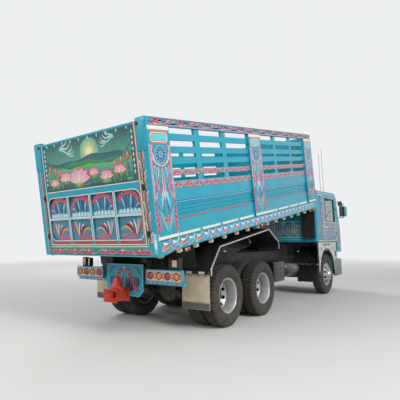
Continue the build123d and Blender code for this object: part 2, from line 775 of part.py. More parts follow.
# Steering wheel
steering_rim = turned([(199, 0), (207, -14), (223, -14), (231, 0), (223, 14), (207, 14)], 16)
with BuildPart() as steering_wheel:
    face = Plane(origin=wheel_centre, x_dir=(0, 1, 0), z_dir=column_dir)
    with Locations(face):
        add(steering_rim)
    with BuildSketch(face.offset(-29.5)) as boss:
        Circle(42)
    extrude(to_extrude=boss.sketch, amount=35)
    with BuildSketch(face.offset(-8)) as spokes:
        Rectangle(420, 40)
        with Locations((0, -105)):
            Rectangle(40, 200)
    extrude(to_extrude=spokes.sketch, amount=12)
save(steering_wheel, "steering_wheel")

# Seats: pedestal, cushion and back in one
with BuildPart() as seats:
    for side in (-1, 1):
        x = front_axle_x
        outline = [
            (60, cab_floor_z + cab_floor_t), (460, cab_floor_z + cab_floor_t),
            (460, 1690), (540, 1720), (560, 1840),
            (120, 1810), (40, 2460), (-40, 2460), (-20, 1700), (60, 1690),
        ]
        across([(x + dx, z) for dx, z in outline], side * 350, side * 850)
save(seats, "seats")

# Doors, each with its window cut and two hinge knuckles, and their glass
window = [(25, 1970), (25, 2600), (800, 2600), (850, 1970)]
window = [(front_axle_x + x, z) for x, z in window]
for side, word in ((1, "left"), (-1, "right")):
    with BuildPart() as door:
        skin = [
            (door_back + door_gap, cab_floor_z + door_gap),
            (door_back + door_gap, cab_roof_z - door_gap),
            (door_front - 60 - door_gap, cab_roof_z - door_gap),
            (door_front - door_gap, door_bend_z),
            (door_front - door_gap, cab_floor_z + door_gap),
        ]
        across(skin, side * (cab_half_w - cab_wall), side * cab_half_w)
        with BuildSketch(side_face(cab_half_w, cab_wall, side)) as hole:
            with BuildLine():
                Polyline(*window, close=True)
            make_face()
        extrude(to_extrude=hole.sketch, amount=cab_wall, mode=Mode.SUBTRACT)
        hinge_y = (side * cab_half_w, side * (cab_half_w + hinge_out))
        for z in hinge_zs:
            pin((door_front, hinge_y[1], z - hinge_h), (door_front, hinge_y[1], z), hinge_r)
            block((door_front - 50, door_front - 2), hinge_y, (z - hinge_h, z))
    save(door, f"door_{word}")
    with BuildPart() as pane:
        middle_y = cab_half_w - cab_wall / 2
        across(window, side * (middle_y - glass_t / 2), side * (middle_y + glass_t / 2))
    save(pane, f"door_glass_{word}")

# Steering knuckles: fork, kingpin, spindle and steering arm
drum_face = 930
fork_z = (395, 660)
for side, word in ((1, "left"), (-1, "right")):
    with BuildPart() as knuckle:
        x = front_axle_x
        block((x - 60, x + 60), (side * (kingpin_y + boss_r + 5), side * (drum_face - run_gap)), fork_z)
        for z in ((fork_z[0], boss_z[0] - 2), (boss_z[1] + 2, fork_z[1])):
            block((x - 45, x + 45), (side * (kingpin_y - 45), side * (kingpin_y + boss_r + 5)), z)
        pin((x, side * kingpin_y, fork_z[0]), (x, side * kingpin_y, fork_z[1]), kingpin_r)
        pin((x, side * (drum_face - run_gap), tyre_r),
            (x, side * (drum_face + spindle_length - 5), tyre_r), spindle_r)
        block((x - 260, x - 45), (side * (kingpin_y + 10), side * (kingpin_y + 50)),
              (fork_z[0], fork_z[0] + 35))
    save(knuckle, f"knuckle_{word}")

# Tyres and wheels, turned once each. A tyre's heights run from its own middle, a wheel's from
# its mating face, and a hub's from its inner face
bead_half = 95
rim_half = bead_half + 15
rim_lip = 14
rim_t = 24
rim_foot = wheel_offset - rim_half
rim_end = wheel_offset + rim_half
tyre_flank = [(rim_r + 0.3, bead_half), (410, tyre_half_w), (492, tyre_half_w - 12), (tyre_r, 95)]
tyre_form = turned([(r, -z) for r, z in tyre_flank] + tyre_flank[::-1], tyre_sides)
rim_form = turned([
    (95, 0), (175, 0), (rim_r, rim_foot), (rim_r, rim_end - rim_lip), (rim_r + rim_lip, rim_end),
    (rim_r - rim_t, rim_end), (rim_r - rim_t, rim_foot + 25), (175, 14), (95, 14),
], tyre_sides)
front_face = front_tyre_y + wheel_offset
drum_r = 205
drum_w = 160
drum_slope = 20
cap_r = 105
front_cap = (front_face - drum_face + 30, front_face - drum_face + 55)
rear_drum_face = 600
rear_drum_w = 260
rear_cap = (400, 430)
front_hub_form = turned([
    (0, 0), (drum_r, 0), (drum_r, drum_w), (cap_r, drum_w + drum_slope), (cap_r, front_cap[0]),
    (70, front_cap[1]), (0, front_cap[1]),
], hub_sides)
rear_hub_form = turned([
    (0, 0), (drum_r, 0), (drum_r, rear_drum_w), (cap_r, rear_drum_w + drum_slope), (cap_r, rear_cap[0]),
    (80, rear_cap[1]), (0, rear_cap[1]),
], hub_sides)
for side, word in ((1, "left"), (-1, "right")):
    with BuildPart() as tyre:
        with on_axle(front_axle_x, side * front_tyre_y, side):
            add(tyre_form)
    save(tyre, f"tyre_front_{word}")
    with BuildPart() as wheel:
        with on_axle(front_axle_x, side * front_face, -side):
            add(rim_form)
        with on_axle(front_axle_x, side * drum_face, side):
            add(front_hub_form)
        flat_bore((front_axle_x, side * drum_face, tyre_r),
                  (front_axle_x, side * (drum_face + spindle_length), tyre_r), spindle_r + run_gap)
    save(wheel, f"wheel_front_{word}")
    for x, place in ((mid_axle_x, "mid"), (rear_axle_x, "rear")):
        with BuildPart() as tyre:
            for out in (-1, 1):
                with on_axle(x, side * (twin_face_y + out * wheel_offset), side):
                    add(tyre_form)
        save(tyre, f"tyres_{place}_{word}")
        with BuildPart() as wheel:
            for out in (-1, 1):
                with on_axle(x, side * twin_face_y, side * out):
                    add(rim_form)
            with on_axle(x, side * rear_drum_face, side):
                add(rear_hub_form)
            flat_bore((x, side * rear_drum_face, tyre_r),
                      (x, side * (rear_drum_face + spindle_length), tyre_r), spindle_r + run_gap)
        save(wheel, f"wheels_{place}_{word}")

# Bed floor, cross bearers and sills
with BuildPart(bed_plane()) as bed_floor:
    block((post_s, bed_length - 50), (-wall_in, wall_in), (floor_low, floor_top))
save(bed_floor, "bed_floor")

bearer_end = wall_out - 20
with BuildPart() as bed_bearers:
    for i in range(bearer_count):
        s = bearer_first + i * bearer_pitch
        half = [(1100, bearer_low), (bearer_end, -15), (bearer_end, floor_low)]
        beam = [(-y, z) for y, z in half[::-1]] + half
        slab(bed_cross(s - bearer_w / 2), beam, bearer_w)
save(bed_bearers, "bed_bearers")

hoist_bearer = bearer_first + 8 * bearer_pitch
eye_cheek_in = 75
eye_cheek_t = 20
with BuildPart(bed_plane()) as bed_underframe:
    for side in (-1, 1):
        block((hinge_s - 45, bed_length - 120), (side * rail_in, side * frame_half_w),
              (sill_low, bearer_low))
        lug = [
            (hinge_s - 45, sill_low), (hinge_s - 55, -hinge_drop),
            (hinge_s + 55, -hinge_drop), (hinge_s + 110, sill_low),
        ]
        lug_y = (side * (rail_mid - lug_half), side * (rail_mid + lug_half))
        tip_eye = [tuple(bed_point(hinge_s, y, -hinge_drop)) for y in lug_y]
        eye_y = (side * eye_cheek_in, side * (eye_cheek_in + eye_cheek_t))
        slab(bed_side(max(lug_y)), lug, 2 * lug_half)
        rod(*tip_eye, 56)
        block((hoist_bearer + bearer_w / 2, hoist_bearer + bearer_pitch - bearer_w / 2), eye_y,
              (eye_z - 90, 60))
        flat_bore(*tip_eye, tip_pin_r + run_gap, bar_sides)
        flat_bore(*[tuple(bed_point(eye_s, y, eye_z)) for y in eye_y], hoist_pin_r, bar_sides)
save(bed_underframe, "bed_underframe")

# Bed sides: a rolled section with ribs, cut through by rows of slots
rib_first = 470
rib_pitch = 60
rib_depth = 18
top_rail_out = 1262
corner_r = 100
slot_rows = [(1000, 1080), (1170, 1250), (1350, 1410), (1510, 1600), (1700, 1790)]
slot_columns = [(520, 1220), (1370, 2070), (2220, 3060), (3570, 4260), (4390, 5170), (5280, 6070)]
with BuildPart() as bed_sides:
    for side in (-1, 1):
        section = [
            (wall_in, floor_low), (wall_in, bed_height), (top_rail_out, bed_height),
            (top_rail_out, top_rail_low), (wall_out, top_rail_low),
        ]
        for i in range(3, -1, -1):
            z = rib_first + i * rib_pitch
            rib = [(wall_out, 48), (wall_out - rib_depth, 36), (wall_out - rib_depth, 12), (wall_out, 0)]
            section += [(y, z + up) for y, up in rib]
        section += [(wall_out, floor_low)]
        slab(bed_cross(post_s), [(side * y, z) for y, z in section], bed_length - post_s)
        with BuildSketch(bed_side(max(side * (wall_in - 5), side * (wall_out + 5)))) as slots:
            for s0, s1 in slot_columns:
                for z0, z1 in slot_rows:
                    with Locations(((s0 + s1) / 2, (z0 + z1) / 2)):
                        Rectangle(s1 - s0, z1 - z0)
        extrude(to_extrude=slots.sketch, amount=wall_out - wall_in + 10, mode=Mode.SUBTRACT)
        with BuildSketch(bed_side(max(side * (wall_in - 5), side * (top_rail_out + 5)))) as corner:
            with BuildLine():
                Polyline((bed_length + 5, bed_height - corner_r), (bed_length + 5, bed_height + 5),
                         (bed_length - corner_r, bed_height + 5), (bed_length - corner_r, bed_height),
                         (bed_length - 0.29 * corner_r, bed_height - 0.29 * corner_r),
                         (bed_length, bed_height - corner_r), close=True)
            make_face()
        extrude(to_extrude=corner.sketch, amount=top_rail_out - wall_in + 10, mode=Mode.SUBTRACT)
save(bed_sides, "bed_sides")

# Posts: boxed rear corners with the first pillars, then the middle and front pillars
pillar_low = 200
corner_in = 1100
gate_pin_r = 20
gate_hinge_s = gate_t / 2
pillar_s = [(post_s, 520), (3060, 3570), (6070, bed_length)]
with BuildPart(bed_plane()) as bed_posts:
    for side in (-1, 1):
        block((0, post_s), (side * corner_in, side * bed_half_w), (-20, bed_height))
        for s in pillar_s:
            block(s, (side * wall_out, side * bed_half_w), (pillar_low, top_rail_low))
    for side in (-1, 1):
        flat_bore(tuple(bed_point(gate_hinge_s, side * corner_in, gate_hinge_z)),
                  tuple(bed_point(gate_hinge_s, side * (corner_in + 60), gate_hinge_z)),
                  gate_pin_r + run_gap, bar_sides)
save(bed_posts, "bed_posts")

# Valances along the floor's edges, with a curved drop behind the rear wheels
valance_z = (20, 190)
with BuildPart() as valances:
    for side in (-1, 1):
        with BuildSketch(bed_side(max(side * wall_out, side * top_rail_out))) as strip:
            with BuildLine():
                Polyline((420, valance_z[0]), (bed_length, valance_z[0]), (bed_length, valance_z[1]),
                         (post_s, valance_z[1]), (post_s, -20))
                ThreePointArc((post_s, -20), (280, -5), (420, valance_z[0]))
            make_face()
        extrude(to_extrude=strip.sketch, amount=top_rail_out - wall_out)
save(valances, "valances")

# Headboard: a sheet with outer ribs
head_top = bed_height - 60
with BuildPart(bed_plane()) as headboard:
    block((bed_length - 50, bed_length - 40), (-wall_in, wall_in), (floor_low, head_top))
    for z in (floor_low + 25, 560, 1000, 1440, head_top - 30):
        block((bed_length - 40, bed_length), (-wall_in, wall_in), (z - 25, z + 25))
    for y in (25 - wall_in, -600, 0, 600, wall_in - 25):
        block((bed_length - 40, bed_length - 5), (y - 25, y + 25), (floor_low + 30, head_top - 10))
save(headboard, "headboard")

# Beam below the tailgate
with BuildPart(bed_plane()) as rear_beam:
    block((0, post_s), (-corner_in, corner_in), (-20, floor_top))
save(rear_beam, "rear_beam")

# Mudguards hung from the bed's bearers over the twin wheels
guard_line = [(1257, -544), (1279, -432), (1613, -135), (3572, -118), (3963, -425), (3971, -579)]
guard_y = (640, 1270)
guard_t = 6
guard_edge = (30, 24)
hanger_bearers = (4, 6, 7)
with BuildPart() as bed_mudguards:
    for side in (-1, 1):
        guard_side = bed_side(max(side * guard_y[0], side * guard_y[1]))
        slab(guard_side, bent_strip(guard_line, guard_t), guard_y[1] - guard_y[0])
        edge_side = bed_side(max(side * (guard_y[1] - guard_edge[0]), side * guard_y[1]))
        slab(edge_side, bent_strip(guard_line, -guard_edge[1]), guard_edge[0])
        for i in hanger_bearers:
            s = bearer_first + i * bearer_pitch
            hanger = [(s - 5, -125), (s + 5, -125), (s + 5, bearer_low), (s - 5, bearer_low)]
            slab(bed_side(max(side * 700, side * 1100)), hanger, 400)
save(bed_mudguards, "bed_mudguards")

# Tailgate: picture panel above two rows of recessed windows, on two side pins
panel_low = 1050
recess = 30
window_w = 490
window_pitch = 535
window_h = 340
window_zs = (400, 770)
with BuildPart(bed_plane()) as tailgate:
    block((0, gate_t), (-gate_half_w, gate_half_w), (gate_low, gate_high))
    with BuildSketch(bed_cross(0)) as recesses:
        for z in window_zs:
            for i in (-1.5, -0.5, 0.5, 1.5):
                with Locations((i * window_pitch, z)):
                    Rectangle(window_w, window_h)
    extrude(to_extrude=recesses.sketch, amount=recess, mode=Mode.SUBTRACT)
    with Locations((4, 0, (panel_low + gate_high - 30) / 2)):
        Box(8, 2 * gate_half_w - 80, gate_high - 30 - panel_low, mode=Mode.SUBTRACT)
    for side in (-1, 1):
        pin(tuple(bed_point(gate_hinge_s, side * gate_half_w, gate_hinge_z)),
            tuple(bed_point(gate_hinge_s, side * (corner_in + 55), gate_hinge_z)), gate_pin_r)
save(tailgate, "tailgate")

# Hoist: barrel on the chassis, and the rod that pushes the bed
hoist_foot = Vector(rear_axle_x + hoist_ahead, 0, hoist_z)
eye = bed_point(eye_s, 0, eye_z)
hoist_dir = (eye - hoist_foot).normalized()
foot_half = 90
rod_flat = rod_r * cos(radians(180 / hub_sides))
with BuildPart() as hoist_barrel:
    foot_eye = [tuple(hoist_foot + Vector(0, y, 0)) for y in (-foot_half, foot_half)]
    mouth = tuple(hoist_foot + hoist_dir * barrel_length)
    rod(tuple(hoist_foot), mouth, barrel_r, hub_sides)
    rod(*foot_eye, 68, hub_sides)
    flat_bore(*foot_eye, hoist_pin_r + run_gap, bar_sides)
    flat_bore(tuple(hoist_foot + hoist_dir * 100), mouth, rod_flat + run_gap)
save(hoist_barrel, "hoist_barrel")

with BuildPart() as hoist_rod:
    rod(tuple(eye - hoist_dir * rod_length), tuple(eye), rod_r, hub_sides)
    rod_eye = [tuple(eye + Vector(0, y, 0)) for y in (-60, 60)]
    rod(*rod_eye, 55, hub_sides)
    flat_bore(*rod_eye, hoist_pin_r, bar_sides)
save(hoist_rod, "hoist_rod")
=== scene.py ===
"""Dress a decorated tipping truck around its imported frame: enamel, ornament, tyres, lamps and seats."""

import json
import logging
import math
from dataclasses import dataclass, replace
from enum import Enum

import bmesh
import bpy
import numpy as np
from mathutils import Matrix


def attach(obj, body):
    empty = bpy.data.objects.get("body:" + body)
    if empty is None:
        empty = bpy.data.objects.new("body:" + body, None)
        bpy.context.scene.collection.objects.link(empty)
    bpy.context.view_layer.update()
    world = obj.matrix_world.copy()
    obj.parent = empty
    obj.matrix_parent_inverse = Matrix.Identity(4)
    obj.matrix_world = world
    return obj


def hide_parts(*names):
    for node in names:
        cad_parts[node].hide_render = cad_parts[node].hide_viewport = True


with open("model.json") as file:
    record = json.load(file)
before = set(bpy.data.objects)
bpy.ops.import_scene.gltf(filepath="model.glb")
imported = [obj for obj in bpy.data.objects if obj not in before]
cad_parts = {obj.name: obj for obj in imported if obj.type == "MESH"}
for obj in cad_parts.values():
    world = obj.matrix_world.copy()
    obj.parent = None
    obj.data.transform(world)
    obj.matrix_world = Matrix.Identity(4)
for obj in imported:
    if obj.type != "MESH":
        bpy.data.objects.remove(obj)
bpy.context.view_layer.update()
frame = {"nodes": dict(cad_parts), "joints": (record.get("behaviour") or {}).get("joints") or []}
LOG = logging.getLogger("truck")

# The bed's own frame: how far it is raised, and where its hinge lies in it, in metres
BED_TILT = math.radians(8.8)
HINGE_S = 0.7245
HINGE_DROP = 0.2548
BED_LENGTH = 6.60
BED_HALF = 1.270
WALL_HALF = 1.235
TOP_RAIL_HALF = 1.262

# The camera, in degrees, in metres ahead of the rear-most axle, and in the photograph's own pixels
IMAGE = 400
CAMERA_AHEAD = -6.289
CAMERA_LEFT = -4.773
CAMERA_HIGH = 1.469
CAMERA_YAW = 40.366
CAMERA_PITCH = 5.602
CAMERA_ROLL = -0.517
FOCAL_PIXELS = 408.08
CENTRE_U = 148.5
CENTRE_V = 200.8
SENSOR_MM = 36.0

# The backdrop's colour, as an sRGB hex value
BACKDROP = "#EDEFF1"
# Dried road dust, as an sRGB hex value
ROAD_DUST = "#8F8577"
# Points nearer than this, in metres, are one point of a closed surface
SEAM = 0.00002
# Edges sharper than this, in degrees, stay sharp in the shading
SHARP = 35
# The wave texture's scale that gives ribs 1 mm apart
RIB_SCALE = 157
# The bumper's front face, in metres
BUMPER_FACE = 4.546

# The truck's own ways, and its two sides: their sign along y and their name
AHEAD = np.array([1.0, 0.0, 0.0])
LEFT = np.array([0.0, 1.0, 0.0])
UP = np.array([0.0, 0.0, 1.0])
SIDES = ((1, "left"), (-1, "right"))

Tree = bpy.types.NodeTree
Socket = bpy.types.NodeSocket
Piece = bpy.types.Object
Span = tuple[float, float]


def joint_place(name: str) -> np.ndarray:
    """Where a joint of the frame lies at rest, in metres.

    Args:
        name: The joint's name.

    Returns:
        Its x, y and z.
    """
    found = next(j for j in frame["joints"] if j["name"] == name)
    return np.array(found["pos_m"], float)


REAR_AXLE = joint_place("rear_left_spin")[0]
MID_AXLE = joint_place("mid_left_spin")[0]
FRONT_AXLE = joint_place("steer_left")[0]
AXLE_HEIGHT = joint_place("rear_left_spin")[2]
BED_HINGE = joint_place("bed_tip")
BED_ALONG = np.array([math.cos(BED_TILT), 0.0, math.sin(BED_TILT)])
BED_UP = np.array([-math.sin(BED_TILT), 0.0, math.cos(BED_TILT)])
BED_ORIGIN = BED_HINGE - HINGE_S * BED_ALONG + HINGE_DROP * BED_UP


def unit(vector) -> np.ndarray:
    """A direction of length 1."""
    made = np.asarray(vector, float)
    return made / np.linalg.norm(made)


def units(rows: np.ndarray) -> np.ndarray:
    """Each row as a direction of length 1."""
    return rows / np.linalg.norm(rows, axis=1, keepdims=True)


def full_turn(steps: int) -> np.ndarray:
    """The angles of some even steps once round, in radians."""
    return np.linspace(0, 2 * np.pi, steps, endpoint=False)


def quarter(steps: int) -> np.ndarray:
    """Angles from 0 to a right angle, in radians."""
    return np.linspace(0, np.pi / 2, steps)


def linear(hex_code: str) -> tuple[float, float, float, float]:
    """Turn an sRGB hex value into linear red, green, blue and alpha."""
    parts = np.array([int(hex_code[i:i + 2], 16) for i in (1, 3, 5)]) / 255
    parts = np.where(parts <= 0.04045, parts / 12.92, ((parts + 0.055) / 1.055) ** 2.4)
    return (*parts.tolist(), 1.0)


class Ink(Enum):
    """The sign painter's colours, as sRGB hex values."""

    TEAL = "#0F8DA6"
    DEEP_TEAL = "#0B6C82"
    AQUA = "#5CBFCB"
    SKY = "#9CCFE0"
    MINT = "#8CC7B8"
    JADE = "#4E9C86"
    LEAF = "#5FB04A"
    GREEN = "#2E7F4A"
    FOREST = "#123F36"
    PINE = "#0F4A48"
    NIGHT = "#0E2233"
    STEEL = "#4B7F99"
    NAVY = "#141F52"
    BLUE = "#1D4FA8"
    VIOLET = "#513A93"
    CRIMSON = "#A81136"
    MAGENTA = "#CC1A58"
    RED = "#A81C28"
    PINK = "#D98A9E"
    ORANGE = "#DB6827"
    AMBER = "#E59E35"
    SUNLIGHT = "#E3D98A"
    TAN = "#B98B66"
    UMBER = "#4A3A34"
    CREAM = "#E3DDCC"
    WHITE = "#E6E8E6"
    BLACK = "#141618"


# The inks of most leaves, at their foot, at their tip and round their edge, and the same turned over
FIRE = (Ink.CRIMSON, Ink.MAGENTA, Ink.PINK)
EMBER = (Ink.MAGENTA, Ink.CRIMSON, Ink.PINK)


def apart(side: int, near: float, far: float) -> Span:
    """The span between two distances from the middle, to one side of it."""
    return (near, far) if side > 0 else (-far, -near)


def tone(ink: Ink) -> np.ndarray:
    """A painter's colour as linear red, green, blue and alpha."""
    return np.array(linear(ink.value))


def add_node(tree: Tree, kind: str, inputs: dict | None = None, **settings) -> bpy.types.Node:
    """Add a shader node.

    Args:
        tree: The material's node tree.
        kind: The node's type name.
        inputs: Input name or number to a plain value, or to an output socket to link from.
        settings: Properties to set on the node.

    Returns:
        The node.
    """
    made = tree.nodes.new(kind)
    for key, value in settings.items():
        setattr(made, key, value)
    for key, value in (inputs or {}).items():
        if isinstance(value, Socket):
            tree.links.new(value, made.inputs[key])
        else:
            made.inputs[key].default_value = value
    return made


def blank_material(name: str) -> tuple[bpy.types.Material, Tree, Socket]:
    """A material, its emptied tree and its Object coordinates."""
    made = bpy.data.materials.new(name)
    made.use_nodes = True
    tree = made.node_tree
    tree.nodes.clear()
    return made, tree, add_node(tree, "ShaderNodeTexCoord").outputs["Object"]


def sum_up(tree: Tree, settings: dict) -> None:
    """End a material's tree in a Principled shader with these settings."""
    shader = add_node(tree, "ShaderNodeBsdfPrincipled", settings)
    add_node(tree, "ShaderNodeOutputMaterial", {"Surface": shader.outputs["BSDF"]})


def paired(tree: Tree, operation: str, first: Socket, second: Socket) -> Socket:
    """One value out of two, by a maths operation."""
    return add_node(tree, "ShaderNodeMath", {0: first, 1: second}, operation=operation).outputs[0]


def mesh_of(name: str, points: list[np.ndarray], faces: list[np.ndarray]) -> bpy.types.Mesh:
    """A mesh of several sets of points and their faces."""
    made = bpy.data.meshes.new(name)
    made.from_pydata(np.concatenate(points).tolist(), [], np.concatenate(faces).tolist())
    return made


def linked(name: str, data: bpy.types.ID) -> Piece:
    """A new object in the scene for a mesh, camera or lamp."""
    made = bpy.data.objects.new(name, data)
    bpy.context.scene.collection.objects.link(made)
    return made


@dataclass(frozen=True)
class Finish:
    """A painted, moulded or rolled surface with its patches, grain and road dust.

    Attributes:
        name: The real material and how its surface was made.
        base: Its colour.
        tint: The colour that it fades or soils to in patches.
        roughness: Its lowest and highest roughness.
        metallic: 1 on bare metal.
        coat: How much clear gloss lies over it.
        patch_mm: The size of the patches.
        patch_amount: How strong they are, from 0 to 1.
        grain_mm: The size of the grain, such as orange peel.
        grain_depth_mm: Its depth, drawn coarser than real where the render wouldn't show it.
        dust: How much road dust lies on it at the ground, fading out by dust_top.
        dust_top: The height where the dust ends, in metres.
        streak_mm: The width of rain streaks, or 0 for none.
        inked: Whether the colour is the painter's ink on each vertex.
    """

    name: str
    base: str = "#808080"
    tint: str = "#707070"
    roughness: Span = (0.3, 0.45)
    metallic: float = 0.0
    coat: float = 0.0
    patch_mm: float = 400.0
    patch_amount: float = 0.5
    grain_mm: float = 4.0
    grain_depth_mm: float = 0.05
    dust: float = 0.0
    dust_top: float = 1.4
    streak_mm: float = 0.0
    inked: bool = False

    def noise(self, tree: Tree, place: Socket, size_mm: float, detail: float = 4.0) -> Socket:
        """A noise whose features are about size_mm across."""
        return add_node(tree, "ShaderNodeTexNoise", {
            "Vector": place, "Scale": 1000 / size_mm, "Detail": detail,
        }).outputs["Fac"]

    def spread(self, tree: Tree, value: Socket, source: Span, target: Span) -> Socket:
        """Map a value from a source range to a target range, clamped."""
        return add_node(tree, "ShaderNodeMapRange", {
            "Value": value, "From Min": source[0], "From Max": source[1], "To Min": target[0],
            "To Max": target[1],
        }).outputs["Result"]

    def blend(self, tree: Tree, amount: Socket, first, second) -> Socket:
        """Mix two colours, each a value or a socket, by an amount."""
        return add_node(tree, "ShaderNodeMix", {0: amount, 6: first, 7: second},
                        data_type="RGBA").outputs[2]

    def colour(self, tree: Tree, place: Socket) -> Socket:
        """The base colour with its patches, streaks and dust."""
        patches = self.spread(tree, self.noise(tree, place, self.patch_mm), (0.35, 0.7),
                              (0.0, self.patch_amount))
        if self.inked:
            ink = add_node(tree, "ShaderNodeAttribute", attribute_name="ink").outputs["Color"]
            brush = self.spread(tree, self.noise(tree, place, 25.0), (0.3, 0.7), (0.86, 1.08))
            ink = add_node(tree, "ShaderNodeHueSaturation", {"Color": ink, "Value": brush}).outputs["Color"]
            shade = self.blend(tree, patches, ink, linear(self.tint))
        else:
            shade = self.blend(tree, patches, linear(self.base), linear(self.tint))
        if self.streak_mm:
            narrow = add_node(tree, "ShaderNodeMapping",
                              {"Vector": place, "Scale": (1.0, 1.0, 0.06)}).outputs["Vector"]
            streaks = self.spread(tree, self.noise(tree, narrow, self.streak_mm), (0.55, 0.8), (0.0, 0.35))
            shade = self.blend(tree, streaks, shade, linear(self.tint))
        if self.dust:
            height = add_node(tree, "ShaderNodeSeparateXYZ", {"Vector": place}).outputs["Z"]
            low = self.spread(tree, height, (0.0, self.dust_top), (self.dust, 0.0))
            rough = self.spread(tree, self.noise(tree, place, 90.0, 8.0), (0.3, 0.65), (0.35, 1.0))
            shade = self.blend(tree, paired(tree, "MULTIPLY", low, rough), shade, linear(ROAD_DUST))
        return shade

    def build(self) -> bpy.types.Material:
        """Make the material.

        Returns:
            The material, with its pattern on Object coordinates.
        """
        made, tree, place = blank_material(self.name)
        sheen = self.spread(tree, self.noise(tree, place, self.patch_mm / 3), (0.3, 0.7), self.roughness)
        settings = {
            "Base Color": self.colour(tree, place), "Metallic": self.metallic, "Roughness": sheen,
            "Coat Weight": self.coat, "Coat Roughness": 0.08,
        }
        if self.grain_depth_mm:
            settings["Normal"] = add_node(tree, "ShaderNodeBump", {
                "Height": self.noise(tree, place, self.grain_mm), "Strength": 1.0,
                "Distance": self.grain_depth_mm / 1000,
            }).outputs["Normal"]
        sum_up(tree, settings)
        return made


@dataclass(frozen=True)
class ClearPane(Finish):
    """Float glass in a thin pane: it mirrors a little, tints a little, and lets the light into the cab.

    Attributes:
        cover: How much of what lies behind the pane its own tint and gloss hide.
    """

    cover: float = 0.22

    def build(self) -> bpy.types.Material:
        """Make the material, with a faint smear in its gloss."""
        made, tree, place = blank_material(self.name)
        smear = self.spread(tree, self.noise(tree, place, self.patch_mm), (0.3, 0.7), self.roughness)
        sum_up(tree, {"Base Color": linear(self.base), "Roughness": smear, "Alpha": self.cover})
        return made


@dataclass(frozen=True)
class Ribbed(Finish):
    """A moulded lens or a woven cloth: its height follows two crossed sets of ribs.

    Attributes:
        rib_mm: From one rib to the next.
    """

    rib_mm: float = 8.0

    def build(self) -> bpy.types.Material:
        """Make the material, with crossed ribs in its bump."""
        made, tree, place = blank_material(self.name)
        waves = {"Vector": place, "Scale": RIB_SCALE / self.rib_mm}
        ribs = [add_node(tree, "ShaderNodeTexWave", waves, bands_direction=way).outputs["Fac"]
                for way in ("Y", "Z")]
        bump = add_node(tree, "ShaderNodeBump", {
            "Height": paired(tree, "MULTIPLY", *ribs), "Strength": 0.6,
            "Distance": self.grain_depth_mm / 1000,
        }).outputs["Normal"]
        sum_up(tree, {
            "Base Color": self.colour(tree, place), "Roughness": self.roughness[0],
            "Metallic": self.metallic, "Coat Weight": self.coat, "Normal": bump,
        })
        return made


@dataclass(frozen=True)
class StudioFloor(Finish):
    """A pale matt floor that melts into the backdrop where it is far from the truck."""

    def build(self) -> bpy.types.Material:
        """Make the material: near by it takes light and shadow, far off it is the backdrop's colour."""
        made = super().build()
        tree = made.node_tree
        end = next(n for n in tree.nodes if n.bl_idname == "ShaderNodeOutputMaterial")
        near = end.inputs["Surface"].links[0].from_socket
        place = add_node(tree, "ShaderNodeTexCoord").outputs["Object"]
        away = add_node(tree, "ShaderNodeVectorMath", {0: place}, operation="LENGTH").outputs["Value"]
        far = self.spread(tree, away, (9.0, 26.0), (0.0, 1.0))
        rays = add_node(tree, "ShaderNodeLightPath").outputs
        seen = paired(tree, "MAXIMUM", rays["Is Camera Ray"], rays["Is Glossy Ray"])
        seen = paired(tree, "MAXIMUM", seen, rays["Is Transmission Ray"])
        share = paired(tree, "MULTIPLY", far, seen)
        glow = add_node(tree, "ShaderNodeEmission", {"Color": linear(BACKDROP), "Strength": 1.0}).outputs[0]
        tree.links.new(add_node(tree, "ShaderNodeMixShader", {0: share, 1: near, 2: glow}).outputs[0],
                       end.inputs["Surface"])
        return made


# Two-pack truck enamel, sprayed: deep gloss with a faint orange peel, chalked a little by the sun
TEAL_ENAMEL = Finish("teal_enamel_sprayed", "#008FA6", "#0C9FB2", (0.28, 0.42), coat=0.15, streak_mm=45,
                     dust=0.10, dust_top=2.0)
# The painter's enamels, brushed on by hand: slight brush marks, the same gloss as the coat below
INKED_ENAMEL = Finish("ornament_enamel_brushed", tint="#6FB4BC", roughness=(0.25, 0.42), coat=0.25,
                      patch_amount=0.12, grain_mm=12, grain_depth_mm=0.06, inked=True)
# Chassis paint over rolled steel: satin black under a film of pale road dust
CHASSIS_BLACK = Finish("chassis_paint_satin", "#0E0F11", "#191817", (0.38, 0.6), dust=0.26, dust_top=1.4,
                       grain_mm=8, grain_depth_mm=0.15)
# Tank paint over pressed steel: glossy black, thinly dusted
TANK_BLACK = Finish("tank_paint_gloss", "#0C0D0F", "#191A1C", (0.18, 0.36), coat=0.25, dust=0.08,
                    dust_top=1.2, patch_mm=150, grain_mm=10, grain_depth_mm=0.08)
# Sand-cast iron, painted and oily: coarse skin, dull
CAST_IRON = Finish("axle_iron_sand_cast", "#17171A", "#2B2723", (0.5, 0.75), dust=0.5, dust_top=1.3,
                   grain_mm=6, grain_depth_mm=0.5)
# Red gloss paint on a forged coupling
COUPLING_RED = Finish("coupling_paint_red", "#C9301C", "#A8281B", (0.3, 0.5), coat=0.2, dust=0.25,
                      grain_mm=7, grain_depth_mm=0.35)
# Wheel silver: aluminium flake lacquer on pressed steel, with brake dust
WHEEL_SILVER = Finish("wheel_lacquer_silver", "#B4B5B6", "#7B7771", (0.35, 0.5), metallic=0.4, dust=0.3,
                      dust_top=1.2, patch_mm=120)
# Painted cast hub, dark grey with darker patches and road dust, and the front hubs' polished covers
HUB_GREY = Finish("hub_iron_painted", "#4C4D4F", "#2B2825", (0.4, 0.65), metallic=0.3, dust=0.3,
                  dust_top=1.2, patch_mm=60, grain_mm=6, grain_depth_mm=0.2)
HUB_BRIGHT = Finish("hub_cover_chromed", "#D9DBDD", "#A9A7A2", (0.08, 0.25), metallic=1.0, patch_mm=80,
                    dust=0.1)
# Polished stainless sheet: bright, with a fine directional polish too fine to show
STAINLESS = Finish("stainless_sheet_polished", "#D5D7D8", "#B9BBBC", (0.12, 0.28), metallic=1.0,
                   patch_mm=200, patch_amount=0.4, grain_depth_mm=0.02, dust=0.15)
